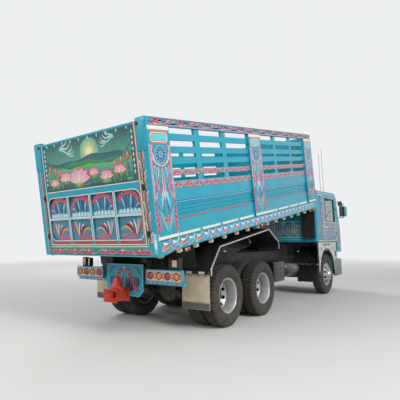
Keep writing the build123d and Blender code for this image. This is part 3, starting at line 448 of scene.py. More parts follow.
# Chromed sheet in use: dull grey patches where the road has scoured and soiled it
WORN_CHROME = Finish("step_chrome_worn", "#CFD1CF", "#83857E", (0.14, 0.34), metallic=1.0, patch_mm=240,
                     patch_amount=0.8, grain_depth_mm=0.03, dust=0.2)
# Bumper chrome, its colour darkened in patches: a painted reflection of the dark ground beside the truck
BUMPER_CHROME = Finish("bumper_chrome_painted_reflection", "#888A88", "#4A4B48", (0.12, 0.3), metallic=1.0,
                       patch_mm=170, patch_amount=0.9, grain_depth_mm=0.03, dust=0.15)
# Tyre rubber, moulded: matt, greyed by dust in the tread
TYRE_RUBBER = Finish("tyre_rubber_moulded", "#151515", "#3C3A37", (0.75, 0.9), dust=0.22, dust_top=1.6,
                     patch_mm=60, grain_mm=5, grain_depth_mm=0.25)
# Flap sheet: rubberised canvas painted cream, scuffed
FLAP_CREAM = Finish("flap_sheet_painted", "#CFBFA3", "#AE9C80", (0.6, 0.8), dust=0.25, patch_mm=120,
                    grain_mm=5, grain_depth_mm=0.2)
# Black polypropylene trim, moulded with a leather grain
TRIM_BLACK = Finish("trim_polypropylene_grained", "#121314", "#1E1F20", (0.5, 0.65), grain_mm=3,
                    grain_depth_mm=0.2, dust=0.15, dust_top=2.0)
# Dashboard ABS, moulded and grained
DASH_ABS = Finish("dash_abs_grained", "#3A3B3D", "#313234", (0.5, 0.65), grain_mm=3, grain_depth_mm=0.15)
# Load floor: rolled plate scoured bright by its loads, with rust in the low places
FLOOR_PLATE = Finish("floor_plate_scoured", "#6D6C69", "#5A4436", (0.35, 0.6), metallic=0.75, patch_mm=600,
                     patch_amount=0.7, grain_mm=30, grain_depth_mm=0.8)
# Float glass, faintly green, wiped but not spotless
WINDOW_GLASS = ClearPane("float_glass_green", "#2A3835", roughness=(0.01, 0.06), patch_mm=300)
# Moulded acrylic lenses with prism ribs behind a glossy face
LENS_RED = Ribbed("lens_acrylic_red", "#C4102A", "#A30D22", (0.12, 0.2), coat=0.6, grain_depth_mm=1.2)
LENS_AMBER = Ribbed("lens_acrylic_amber", "#F0801C", "#DB6C12", (0.12, 0.2), coat=0.6, grain_depth_mm=1.2)
LENS_CLEAR = Ribbed("lens_acrylic_clear", "#DCE2E4", "#C3CBCE", (0.1, 0.2), coat=0.6, grain_depth_mm=1.2)
# Seat cloth: a coarse polyester weave, drawn twice its real thread so that it shows
SEAT_CLOTH = Ribbed("seat_polyester_woven", "#3D4650", "#2E353D", (0.85, 0.9), grain_depth_mm=0.8, rib_mm=6)
# Silvered mirror glass: nearly a perfect reflection
MIRROR_GLASS = Finish("mirror_glass_silvered", "#E3E6E8", "#D3D7DA", (0.02, 0.06), metallic=1.0,
                      grain_depth_mm=0.0)
# Ground, hard-chromed steel of the hoist's rod
HARD_CHROME = Finish("rod_hard_chrome", "#C9CBCE", "#B5B7BA", (0.1, 0.2), metallic=1.0, grain_depth_mm=0.0)

# The finish of each of the frame's own nodes
NODE_FINISHES = {
    CHASSIS_BLACK: (
        "frame_rails cross_members subframe_rails frame_brackets side_tanks cab_floor "
        "bed_bearers bed_underframe bed_mudguards hoist_barrel"
    ),
    TEAL_ENAMEL: (
        "tow_plate rear_lamp_boxes bumper cab_rear cab_roof cab_front sun_visor mirrors "
        "door_left door_right bed_sides bed_posts valances headboard rear_beam tailgate"
    ),
    COUPLING_RED: "tow_coupling",
    LENS_RED: "lamps",
    FLAP_CREAM: "mud_flaps",
    CAST_IRON: "axles leaf_springs driveline knuckle_left knuckle_right",
    WORN_CHROME: "step_panels",
    WINDOW_GLASS: "cab_glass door_glass_left door_glass_right",
    # The intake duct is dressed black like a real duct, and it is also painted shade: it fills the dark
    # patch between the cab and the bed.
    TRIM_BLACK: "roof_lamps intake_duct steering_wheel",
    DASH_ABS: "dashboard",
    SEAT_CLOTH: "seats",
    FLOOR_PLATE: "bed_floor",
    HARD_CHROME: "hoist_rod",
    WHEEL_SILVER: (
        "wheel_front_left wheel_front_right wheels_mid_left wheels_mid_right wheels_rear_left "
        "wheels_rear_right"
    ),
    TYRE_RUBBER: (
        "tyre_front_left tyre_front_right tyres_mid_left tyres_mid_right tyres_rear_left "
        "tyres_rear_right"
    ),
}


class Paintshop:
    """Makes each finish's material once and puts it on objects."""

    def __init__(self) -> None:
        """Start with no materials."""
        self.made: dict[str, bpy.types.Material] = {}

    def material(self, finish: Finish) -> bpy.types.Material:
        """The material of a finish, made when it is first asked for."""
        if finish.name not in self.made:
            self.made[finish.name] = finish.build()
        return self.made[finish.name]

    def dress(self, piece: Piece, finish: Finish) -> None:
        """Give a whole piece one finish."""
        piece.data.materials.clear()
        piece.data.materials.append(self.material(finish))

    def dress_frame(self) -> None:
        """Give every node of the frame its finish."""
        for finish, names in NODE_FINISHES.items():
            for name in names.split():
                self.dress(frame["nodes"][name], finish)


PAINTSHOP = Paintshop()


class Stroke(Enum):
    """How a brush stroke's half width runs from its start to its tip."""

    LINE = 0
    LEAF = 1
    TAPER = 2
    DROP = 3

    def share(self, t: np.ndarray) -> np.ndarray:
        """The share of the full half width at each t from 0 to 1, never quite nothing."""
        shapes = {
            Stroke.LINE: np.ones_like(t),
            Stroke.LEAF: np.sin(np.pi * t) ** 0.75,
            Stroke.TAPER: (1 - t) ** 0.7 * (1 - np.exp(-12 * t)),
            Stroke.DROP: np.sin(np.pi * t ** 0.5) ** 0.8,
        }
        return np.maximum(shapes[self], 0.03)


@dataclass(frozen=True)
class Canvas:
    """A flat face of the truck that is painted, in metres.

    Attributes:
        origin: The place of u = v = 0.
        along: The direction of u.
        up: The direction of v.
        out: The way out of the face.
    """

    origin: np.ndarray
    along: np.ndarray
    up: np.ndarray
    out: np.ndarray

    def place(self, flat: np.ndarray, height: float) -> np.ndarray:
        """Points in space: the origin plus u along, v up and the height outwards."""
        return self.origin + flat[:, :1] * self.along + flat[:, 1:] * self.up + height * self.out

    def backed(self) -> "Canvas":
        """The same face, seen from its other side."""
        return replace(self, out=-self.out)

    def flipped(self) -> bool:
        """Whether an anticlockwise outline in u and v turns clockwise seen from outside."""
        return float(np.dot(np.cross(self.along, self.up), self.out)) < 0


def curve(points: list, steps: int) -> np.ndarray:
    """A Bezier curve: each control point weighted by its Bernstein polynomial."""
    control = np.asarray(points, float)
    degree = len(control) - 1
    t = np.linspace(0, 1, steps)[:, None]
    weights = [math.comb(degree, i) * t ** i * (1 - t) ** (degree - i) for i in range(degree + 1)]
    return sum(weight * point for weight, point in zip(weights, control))


def placed(points: list, base: tuple, angle: float = 0.0, size: float = 1.0, flip: int = 1) -> np.ndarray:
    """Scale a motif's own points, mirror them if flip is -1, turn them by degrees and move them."""
    own = np.asarray(points, float) * (size, size * flip)
    c, s = math.cos(math.radians(angle)), math.sin(math.radians(angle))
    return own @ np.array([[c, s], [-s, c]]) + np.asarray(base)


class Artwork:
    """Enamel ornament on one canvas: thin closed plates, each with its own ink, joined in one mesh."""

    LAYER = 0.0007
    SUNK = 0.0006

    def __init__(self, canvas: Canvas) -> None:
        """Start with nothing painted."""
        self.canvas = canvas
        self.points: list[np.ndarray] = []
        self.faces: list[np.ndarray] = []
        self.inks: list[np.ndarray] = []
        self.count = 0

    def plate(self, flat: np.ndarray, faces: np.ndarray, rim: np.ndarray, inks: np.ndarray,
              layer: float) -> None:
        """Add a closed plate: its painted face, the same face turned round below, and a wall along its rim.

        Args:
            flat: The face's points in u and v.
            faces: Its quads, anticlockwise.
            rim: The points round its edge, anticlockwise.
            inks: A linear colour for each point.
            layer: How many coats lie below its face.
        """
        total = len(flat)
        after = np.roll(rim, -1)
        walls = np.stack([rim + total, after + total, after, rim], axis=1)
        made = np.concatenate([faces, faces[:, ::-1] + total, walls])
        if self.canvas.flipped():
            made = made[:, ::-1]
        self.points += [self.canvas.place(flat, layer * self.LAYER), self.canvas.place(flat, -self.SUNK)]
        self.inks += [inks, inks]
        self.faces.append(made + self.count)
        self.count += 2 * total

    def strip(self, left: np.ndarray, right: np.ndarray, inks: np.ndarray | Ink, layer: float,
              others: Ink | None = None) -> None:
        """Add the plate between a left and a right edge that run the same way.

        Args:
            left: The left edge's points.
            right: The right edge's points.
            inks: Its ink, or a linear colour for each pair of points.
            layer: How many coats lie below it.
            others: The right edge's own ink, or None for the same as the left one's.
        """
        steps = len(left)
        inks = np.tile(tone(inks), (steps, 1)) if isinstance(inks, Ink) else inks
        i = np.arange(steps - 1)
        faces = np.stack([i + steps, i + 1 + steps, i + 1, i], axis=1)
        rim = np.concatenate([np.arange(steps, 2 * steps), np.arange(steps - 1, -1, -1)])
        inks = np.concatenate([inks, np.tile(tone(others), (steps, 1)) if others else inks])
        self.plate(np.concatenate([left, right]), faces, rim, inks, layer)

    def stroke(self, points, width: float, ink: Ink, tip: Ink | None = None, edge: Ink | None = None,
               shape: Stroke = Stroke.LEAF, layer: float = 2, steps: int = 11, rim: float = 0.005) -> None:
        """Draw a brush stroke along a curve, over a wider one in the edge's ink.

        Args:
            points: The curve's control points.
            width: The stroke's full width.
            ink: Its colour at the start.
            tip: Its colour at the tip.
            edge: The colour of its outline, or None for no outline.
            shape: How its width runs.
            layer: The coats below it.
            steps: The points along it.
            rim: The outline's width.
        """
        spine = curve(points, steps)
        t = np.linspace(0, 1, steps)
        way = np.gradient(spine, axis=0)
        way /= np.linalg.norm(way, axis=1, keepdims=True) + 1e-12
        side = np.stack([-way[:, 1], way[:, 0]], axis=1)
        if edge is not None:
            reach = (width / 2 * shape.share(t) + rim)[:, None]
            grown = spine + way * (np.where(t < 0.5, -rim, rim) * np.abs(2 * t - 1) ** 4)[:, None]
            self.strip(grown + side * reach, grown - side * reach, edge, layer)
            layer += 1
        reach = (width / 2 * shape.share(t))[:, None]
        inks = tone(ink) * (1 - t[:, None]) + tone(tip or ink) * t[:, None]
        self.strip(spine + side * reach, spine - side * reach, inks, layer)

    def line(self, points, width: float, ink: Ink, layer: float = 1, closed: bool = False) -> None:
        """Draw a line of even width along straight runs, its corners mitred."""
        path = np.asarray(points, float)
        if closed:
            path = np.concatenate([path[-1:], path, path[:2]])
        way = units(np.diff(path, axis=0))
        before = np.concatenate([way[:1], way])
        after = np.concatenate([way, way[-1:]])
        mitre = units(np.stack([-(before + after)[:, 1], (before + after)[:, 0]], axis=1))
        normal = np.stack([-after[:, 1], after[:, 0]], axis=1)
        reach = mitre * (width / 2 / np.maximum((mitre * normal).sum(1, keepdims=True), 0.3))
        keep = slice(1, -1) if closed else slice(None)
        self.strip((path + reach)[keep], (path - reach)[keep], ink, layer)

    def level(self, u: Span, v: float, width: float, ink: Ink, layer: float = 1) -> None:
        """Draw a line along u at one v."""
        self.line([(u[0], v), (u[1], v)], width, ink, layer)

    def upright(self, u: float, v: Span, width: float, ink: Ink, layer: float = 1) -> None:
        """Draw a line along v at one u."""
        self.line([(u, v[0]), (u, v[1])], width, ink, layer)

    def border(self, u: Span, v: Span, width: float, ink: Ink, layer: float) -> None:
        """Draw a line round a rectangle."""
        self.line([(u[0], v[0]), (u[1], v[0]), (u[1], v[1]), (u[0], v[1])], width, ink, layer, closed=True)

    def box(self, u: Span, v: Span, ink: Ink, layer: float = 1,
            top: Ink | None = None, steps: int = 2) -> None:
        """Fill a rectangle, blending from the ink at its foot to another at its top."""
        rise = np.linspace(v[0], v[1], steps)
        t = np.linspace(0, 1, steps)[:, None]
        left = np.stack([np.full(steps, u[0]), rise], axis=1)
        right = np.stack([np.full(steps, u[1]), rise], axis=1)
        self.strip(left, right, tone(ink) * (1 - t) + tone(top or ink) * t, layer)

    def disc(self, centre: tuple, r: float, ink: Ink, middle: Ink | None = None, layer: float = 2,
             petals: int = 0, depth: float = 0.15, steps: int = 24, high: float = 1.0) -> None:
        """Fill a round or scalloped patch: the radius waves with the angle, petals times round."""
        a = full_turn(steps)
        reach = r * (1 - depth / 2 + depth / 2 * np.cos(petals * a)) if petals else np.full(steps, r)
        rim = np.stack([centre[0] + reach * np.cos(a), centre[1] + high * reach * np.sin(a)], axis=1)
        flat = np.concatenate([rim, [centre]])
        i = np.arange(0, steps, 2)
        faces = np.stack([np.full(len(i), steps), i, i + 1, (i + 2) % steps], axis=1)
        inks = np.concatenate([np.tile(tone(ink), (steps, 1)), [tone(middle or ink)]])
        self.plate(flat, faces, np.arange(steps), inks, layer)

    def finish(self, name: str, body: str) -> Piece:
        """Join all plates in one piece, with each point's ink in its "ink" attribute.

        Args:
            name: The piece's name.
            body: The body that it rides on.

        Returns:
            The piece.
        """
        mesh = mesh_of(name, self.points, self.faces)
        inks = mesh.attributes.new("ink", "FLOAT_COLOR", "POINT")
        inks.data.foreach_set("color", np.concatenate(self.inks).ravel())
        made = linked(name, mesh)
        PAINTSHOP.dress(made, INKED_ENAMEL)
        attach(made, body)
        LOG.info("%s: %d plates, %d faces", name, len(self.faces), len(mesh.polygons))
        return made


class Ornament(Artwork):
    """The painter's stock of traditional motifs: leaves, flames, feathers, rosettes and waves."""

    def leaf(self, base: tuple, angle: float, length: float, width: float, ink: Ink, tip: Ink | None = None,
             edge: Ink | None = None, bend: float = 0.0, layer: float = 2, shape: Stroke = Stroke.LEAF,
             rim: float = 0.005) -> None:
        """A leaf from its base, at an angle in degrees, bowed to one side by bend times its length."""
        points = placed([(0, 0), (0.5, bend * 2), (1, 0)], base, angle, length)
        self.stroke(points, width, ink, tip, edge, shape, layer, steps=9, rim=rim)

    def flame(self, base: tuple, angle: float, length: float, ink: Ink, tip: Ink, edge: Ink | None = None,
              flip: int = 1, layer: float = 2, fat: float = 0.26) -> None:
        """A flame: an S-shaped stroke, thick at its foot, with its tip curled over."""
        points = placed([(0, 0), (0.35, 0.38), (0.75, -0.35), (0.8, 0.3), (1.0, 0.34)], base, angle, length,
                        flip)
        self.stroke(points, length * fat, ink, tip, edge, Stroke.TAPER, layer, steps=14)

    def feather(self, base: tuple, angle: float, length: float, width: float, inks: tuple,
                bend: float = 0.0, layer: float = 2) -> None:
        """A feather: three leaves laid in each other, outermost first, and a pale shaft."""
        for i, ink in enumerate(inks):
            share = 1 - 0.24 * i
            self.leaf(base, angle, length * share, width * (1 - 0.3 * i), ink,
                      edge=Ink.CREAM if i == 0 else None, bend=bend, layer=layer + 1.5 * i,
                      shape=Stroke.DROP if i == 0 else Stroke.LEAF)
        points = placed([(0, 0), (0.5, bend * 2), (0.9, 0)], base, angle, length)
        self.stroke(points, width * 0.09, Ink.CREAM, shape=Stroke.TAPER, layer=layer + 6, steps=7)

    def rosette(self, centre: tuple, r: float, inks: tuple, petals: int = 12, layer: float = 2) -> None:
        """A rosette: an edged disc, a ring of petals round it, and a small flower at its heart."""
        self.disc(centre, r, Ink.CREAM, layer=layer, steps=32)
        self.disc(centre, r * 0.95, inks[0], layer=layer + 1, steps=32)
        for k in range(petals):
            a = 360 / petals * k
            root = placed([(r * 0.42, 0)], centre, a)[0]
            self.leaf(tuple(root), a, r * 0.5, r * 0.24, inks[1], inks[2], layer=layer + 2)
        self.disc(centre, r * 0.42, inks[2], inks[1], layer=layer + 3, steps=16)
        self.disc(centre, r * 0.26, inks[3], layer=layer + 4, petals=6, depth=0.4, steps=24)
        self.disc(centre, r * 0.1, Ink.AMBER, layer=layer + 5, steps=8)

    def beads(self, points: list, count: int, r: float, ink: Ink, layer: float = 3) -> None:
        """A row of beads along a curve."""
        for spot in curve(points, count):
            self.disc(tuple(spot), r, ink, layer=layer, steps=8)

    def wave(self, u: Span, v: float, swing: float, period: float, width: float, ink: Ink,
             phase: float = 0.0, layer: float = 2) -> None:
        """A ribbon that waves along u: v plus the swing times the sine of u over the period."""
        steps = max(int((u[1] - u[0]) / period * 14), 8)
        run = np.linspace(u[0], u[1], steps)
        turn = 2 * np.pi * (run - u[0]) / period + phase
        spine = np.stack([run, v + swing * np.sin(turn)], axis=1)
        half = np.array([[0.0, width / 2]])
        self.strip(spine + half, spine - half, ink, layer)


def bed_spot(s: float, y: float, z: float) -> np.ndarray:
    """A point of the bed, s along and z up from its rear edge, as a place in the truck."""
    return BED_ORIGIN + s * BED_ALONG + z * BED_UP + np.array([0.0, y, 0.0])


def bed_canvas(side: int, half: float, s: float = 0.0, z: float = 0.0) -> Canvas:
    """A side of the bed, at a distance from its middle: u runs forwards, v up."""
    return Canvas(bed_spot(s, side * half, z), BED_ALONG, BED_UP, side * LEFT)


def rear_canvas(s: float = 0.0, y: float = 0.0, z: float = 0.0) -> Canvas:
    """A face across the bed, seen from behind: u runs to the right, v up."""
    return Canvas(bed_spot(s, y, z), -LEFT, BED_UP, -BED_ALONG)


def across(x: float, y: float = 0.0, z: float = 0.0) -> Canvas:
    """An upright face across the truck, seen from behind: u runs to the right, v up."""
    return Canvas(np.array([x, y, z]), -LEFT, UP, -AHEAD)


def facing(x: float, y: float = 0.0, z: float = 0.0) -> Canvas:
    """An upright face across the truck, seen from the front: u runs to the truck's left, v up."""
    return Canvas(np.array([x, y, z]), LEFT, UP, AHEAD)


def along(side: float, y: float, x: float = 0.0, z: float = 0.0) -> Canvas:
    """An upright face along the truck on one side, y from its middle: u runs forwards, v up."""
    return Canvas(np.array([x, side * y, z]), AHEAD, UP, side * LEFT)


def lying(x: float, y: float, z: float) -> Canvas:
    """A level face seen from above: u runs forwards, v to the truck's left."""
    return Canvas(np.array([x, y, z]), AHEAD, LEFT, UP)


@dataclass
class BedSides:
    """The painted sides of the bed: pillars, rails, lines, valance and reflectors.

    Attributes:
        pillars: Where each pillar starts and ends along the bed.
        bays: Where each open bay between them starts and ends.
        pillar_v: The pillars' foot and top.
        rails: Each decorated rail's foot and top.
        rail_pitch: The distance from one pair of leaves to the next.
    """

    pillars: tuple = ((0.03, 0.51), (3.07, 3.56), (6.08, 6.59))
    bays: tuple = ((0.52, 3.06), (3.57, 6.07))
    pillar_v: tuple = (0.20, 1.79)
    rails: tuple = ((0.885, 0.995), (1.085, 1.165))
    rail_pitch: float = 0.27

    def pillar(self, art: Ornament, u: Span) -> None:
        """One pillar from its cream cap down: cartouche, rosette, beads, feathers, strands and fan."""
        mid, half = (u[0] + u[1]) / 2, (u[1] - u[0]) / 2
        foot, top = self.pillar_v
        art.box(u, (top - 0.058, top - 0.006), Ink.CREAM, 2)
        art.box(u, (foot + 0.002, foot + 0.045), Ink.CREAM, 2)
        art.level((u[0] + 0.03, u[1] - 0.03), top - 0.075, 0.010, Ink.ORANGE)
        corner = 0.035
        for grow, ink, layer in ((0.014, Ink.ORANGE, 2), (0.0, Ink.CREAM, 3), (-0.012, Ink.NAVY, 4),
                                 (-0.018, Ink.AQUA, 5)):
            w, h = half * 0.78 + grow, 0.068 + grow
            left = np.array([(mid - w, 1.625 - h + corner), (mid - w + corner, 1.625 - h),
                             (mid + w - corner, 1.625 - h), (mid + w, 1.625 - h + corner)])
            art.strip(left * (1, -1) + (0, 3.25), left, ink, layer)
        art.rosette((mid, 1.385), 0.122, (Ink.NAVY, Ink.BLUE, Ink.AQUA, Ink.RED))
        for side in (-1, 1):
            self.pillar_half(art, mid, half, side)
        art.leaf((mid, 1.19), -90, 0.44, 0.05, Ink.TAN, Ink.PINK, Ink.CREAM, layer=8)
        art.leaf((mid, 1.17), -90, 0.30, 0.018, Ink.CRIMSON, Ink.MAGENTA, layer=10)
        art.disc((mid, 1.215), 0.026, Ink.ORANGE, Ink.AMBER, 12, petals=4, depth=0.5)
        for side in (-1, 1):
            for k, ink in enumerate((Ink.AQUA, Ink.DEEP_TEAL, Ink.PINK, Ink.TEAL, Ink.SKY, Ink.NAVY,
                                     Ink.AQUA)):
                art.stroke([(mid + side * 0.004, 0.27), (mid + side * (0.02 + 0.020 * k), 0.37 + 0.02 * k),
                            (mid + side * (0.05 + 0.022 * k), 0.52 + 0.03 * k)], 0.020, ink,
                           shape=Stroke.LEAF, layer=7 + 0.5 * k, steps=9)
            for k, ink in enumerate((Ink.TEAL, Ink.AQUA, Ink.DEEP_TEAL)):
                art.stroke([(mid + side * 0.10, 0.60 - 0.02 * k), (mid + side * (0.10 - 0.03 * k), 0.76),
                            (mid + side * 0.01, 0.92 - 0.03 * k)], 0.034 - 0.007 * k, ink, Ink.SKY,
                           layer=5 + k, steps=9)
        for k in range(7):
            art.leaf((mid, 0.475), 360 / 7 * k, 0.052, 0.034, Ink.ORANGE, Ink.RED,
                     Ink.CREAM if k % 2 else None, layer=17)
        art.disc((mid, 0.475), 0.018, Ink.PINK, layer=20, steps=8)

    def pillar_half(self, art: Ornament, mid: float, half: float, side: int) -> None:
        """What a pillar has on both sides of its middle line."""

        def at(x: float) -> float:
            return mid + side * x

        for x, width, ink in ((half * 0.97, 0.012, Ink.PINK), (half * 0.90, 0.007, Ink.CREAM),
                              (half * 0.84, 0.006, Ink.DEEP_TEAL)):
            art.upright(at(x), (0.25, 1.52), width, ink)
        art.beads([(at(half * 0.80), 1.50), (at(half * 0.92), 1.26), (at(0.0), 1.22)], 15, 0.011, Ink.CREAM,
                  6)
        art.stroke([(at(half * 0.86), 1.50), (at(half * 1.02), 1.20), (at(0.0), 1.19)], 0.010, Ink.ORANGE,
                   Ink.CRIMSON, shape=Stroke.LINE, layer=5)
        for x, v, length, inks in ((0.36, 1.20, 0.32, (Ink.BLUE, Ink.VIOLET, Ink.SKY)),
                                   (0.68, 1.22, 0.27, (Ink.NAVY, Ink.BLUE, Ink.AQUA))):
            art.feather((at(half * x), v), -90 + side * 7, length, 0.058, inks, layer=6)
            art.leaf((at(half * x + 0.01), v - length + 0.03), -90 + side * 12, 0.075, 0.026, *FIRE,
                     layer=12)
        strands = ((Ink.PINK, 0.009), (Ink.MAGENTA, 0.011), (Ink.DEEP_TEAL, 0.016), (Ink.TAN, 0.009),
                   (Ink.BLUE, 0.013), (Ink.CRIMSON, 0.008))
        for i, (ink, width) in enumerate(strands):
            inward = 0.055 * i
            art.stroke([(at(half * 0.86 - inward * 0.3), 1.12 - 0.03 * i), (at(half * 0.80 - inward), 0.98),
                        (at(half * 0.25 - inward * 0.5), 0.90), (at(half * 0.05 + 0.02 * i), 0.70),
                        (at(half * 0.55 - inward * 0.4), 0.55)], width, ink, shape=Stroke.TAPER,
                       layer=2 + i * 0.5, steps=16)
        for k in range(6):
            v = 0.28 + 0.078 * k
            art.flame((at(half * 0.93), v), 90 + side * (28 - 3 * k), 0.15 - 0.008 * k, *FIRE, flip=-side,
                      layer=4)
        for k in range(9):
            v = 0.76 + 0.088 * k
            ink, tip = ((Ink.PINK, Ink.TAN), (Ink.BLUE, Ink.VIOLET), (Ink.MAGENTA, Ink.CRIMSON))[k % 3]
            art.leaf((at(half * 0.92), v), 90 + side * 32, 0.115, 0.028, ink, tip, Ink.PINK,
                     bend=side * 0.12, layer=3)
        for x, width, ink in ((half * 0.55, 0.014, Ink.DEEP_TEAL), (half * 0.72, 0.010, Ink.MAGENTA)):
            art.stroke([(at(x), 0.26), (at(x + 0.05), 0.45), (at(x - 0.10), 0.55), (at(x - 0.02), 0.78)],
                       width, ink, Ink.CREAM, shape=Stroke.TAPER, layer=3)

    def rail(self, art: Ornament, u: Span, v: Span) -> None:
        """A rail with a teal ground, waving ribbons and pairs of crimson leaves between two lines."""
        mid = (v[0] + v[1]) / 2
        high = v[1] - v[0]
        art.box(u, v, Ink.TEAL, 1)
        for edge, ink in ((v[0] + 0.005, Ink.CRIMSON), (v[1] - 0.005, Ink.ORANGE)):
            art.level(u, edge, 0.008, ink, 2)
        for phase, ink in ((0.0, Ink.MINT), (math.pi, Ink.TAN), (math.pi / 2, Ink.PINK),
                           (-math.pi / 2, Ink.DEEP_TEAL)):
            art.wave(u, mid, high * 0.32, self.rail_pitch, 0.010, ink, phase, 2)
        count = max(int((u[1] - u[0]) / self.rail_pitch), 1)
        for k in range(count):
            centre = u[0] + (k + 0.5) * (u[1] - u[0]) / count
            for way in (0, 180):
                art.leaf((centre + (0.006 if way == 0 else -0.006), mid), way, 0.105, high * 0.38, *FIRE,
                         layer=3, shape=Stroke.DROP)
            art.disc((centre, mid), high * 0.10, Ink.AMBER, layer=6, steps=8)

    def top_rail(self, art: Ornament, length: float) -> None:
        """The top rail: long pale ribbons that wave past crimson leaves, below a teal edge."""
        u, v = (0.09, length - 0.01), (1.80, 1.893)
        art.box(u, v, Ink.DEEP_TEAL, 1)
        for edge, ink in ((v[0] + 0.004, Ink.PINK), (v[1] - 0.004, Ink.CRIMSON),
                          (v[1] + 0.006, Ink.DEEP_TEAL)):
            art.level(u, edge, 0.008, ink, 2)
        for swing, phase, width, ink in ((0.028, 0.0, 0.020, Ink.TEAL), (0.030, 0.5, 0.011, Ink.MINT),
                                         (0.026, 1.6, 0.010, Ink.TAN), (0.030, math.pi, 0.012, Ink.MINT),
                                         (0.024, 4.4, 0.010, Ink.PINK), (0.020, 5.2, 0.014, Ink.TEAL)):
            art.wave(u, 1.846, swing, 0.62, width, ink, phase, 2)
        for k in range(21):
            centre = 0.24 + 0.31 * k
            lean = 14 if k % 2 else -14
            for way in (0, 180):
                art.leaf((centre, 1.846), way + lean, 0.10, 0.036, *FIRE, layer=3, bend=0.08)

    def valance(self, art: Ornament, length: float) -> None:
        """Scallops along the floor's edge: blue, white and orange flames that all lean forwards."""
        art.level((0.09, length), 0.183, 0.007, Ink.NAVY, 2)
        count = 30
        for k in range(count):
            base = 0.10 + (length - 0.32) / count * k
            fade = k / count
            inks = (Ink.BLUE, Ink.SKY) if k % 2 else (Ink.ORANGE, Ink.RED)
            art.flame((base, 0.045), 16, 0.23 - 0.05 * fade, inks[0], inks[1], Ink.WHITE, layer=3)
            art.flame((base + 0.03, 0.165), -14, 0.19 - 0.05 * fade, Ink.WHITE, Ink.AQUA, Ink.BLUE, flip=-1,
                      layer=2)
        art.wave((0.09, 0.50), 0.028, 0.016, 0.2, 0.014, Ink.ORANGE, layer=6)

    def lines(self, art: Ornament) -> None:
        """The blue and magenta lines along the pressed ribs, and the reflector strips below."""
        for u in self.bays:
            span = (u[0] + 0.01, u[1] - 0.01)
            for v, width, ink in ((0.706, 0.016, Ink.BLUE), (0.692, 0.007, Ink.SKY),
                                  (0.460, 0.014, Ink.MAGENTA), (0.448, 0.006, Ink.NAVY)):
                art.level(span, v, width, ink, 1)
            count = 4
            pitch = (span[1] - span[0]) / count
            for k in range(count):
                start = span[0] + pitch * k + 0.035
                art.box((start, start + pitch - 0.07), (0.197, 0.237), Ink.CREAM, 3)

    def build(self) -> None:
        """Paint both sides."""
        for side, word in SIDES:
            proud = Ornament(bed_canvas(side, BED_HALF))
            for u in self.pillars:
                self.pillar(proud, u)
            proud.finish(f"pillar_ornament_{word}", "bed")
            wall = Ornament(bed_canvas(side, WALL_HALF))
            for u in self.bays:
                for v in self.rails:
                    self.rail(wall, u, v)
            self.lines(wall)
            wall.finish(f"rail_ornament_{word}", "bed")
            edge = Ornament(bed_canvas(side, TOP_RAIL_HALF))
            self.top_rail(edge, BED_LENGTH)
            self.valance(edge, BED_LENGTH)
            edge.finish(f"edge_ornament_{word}", "bed")


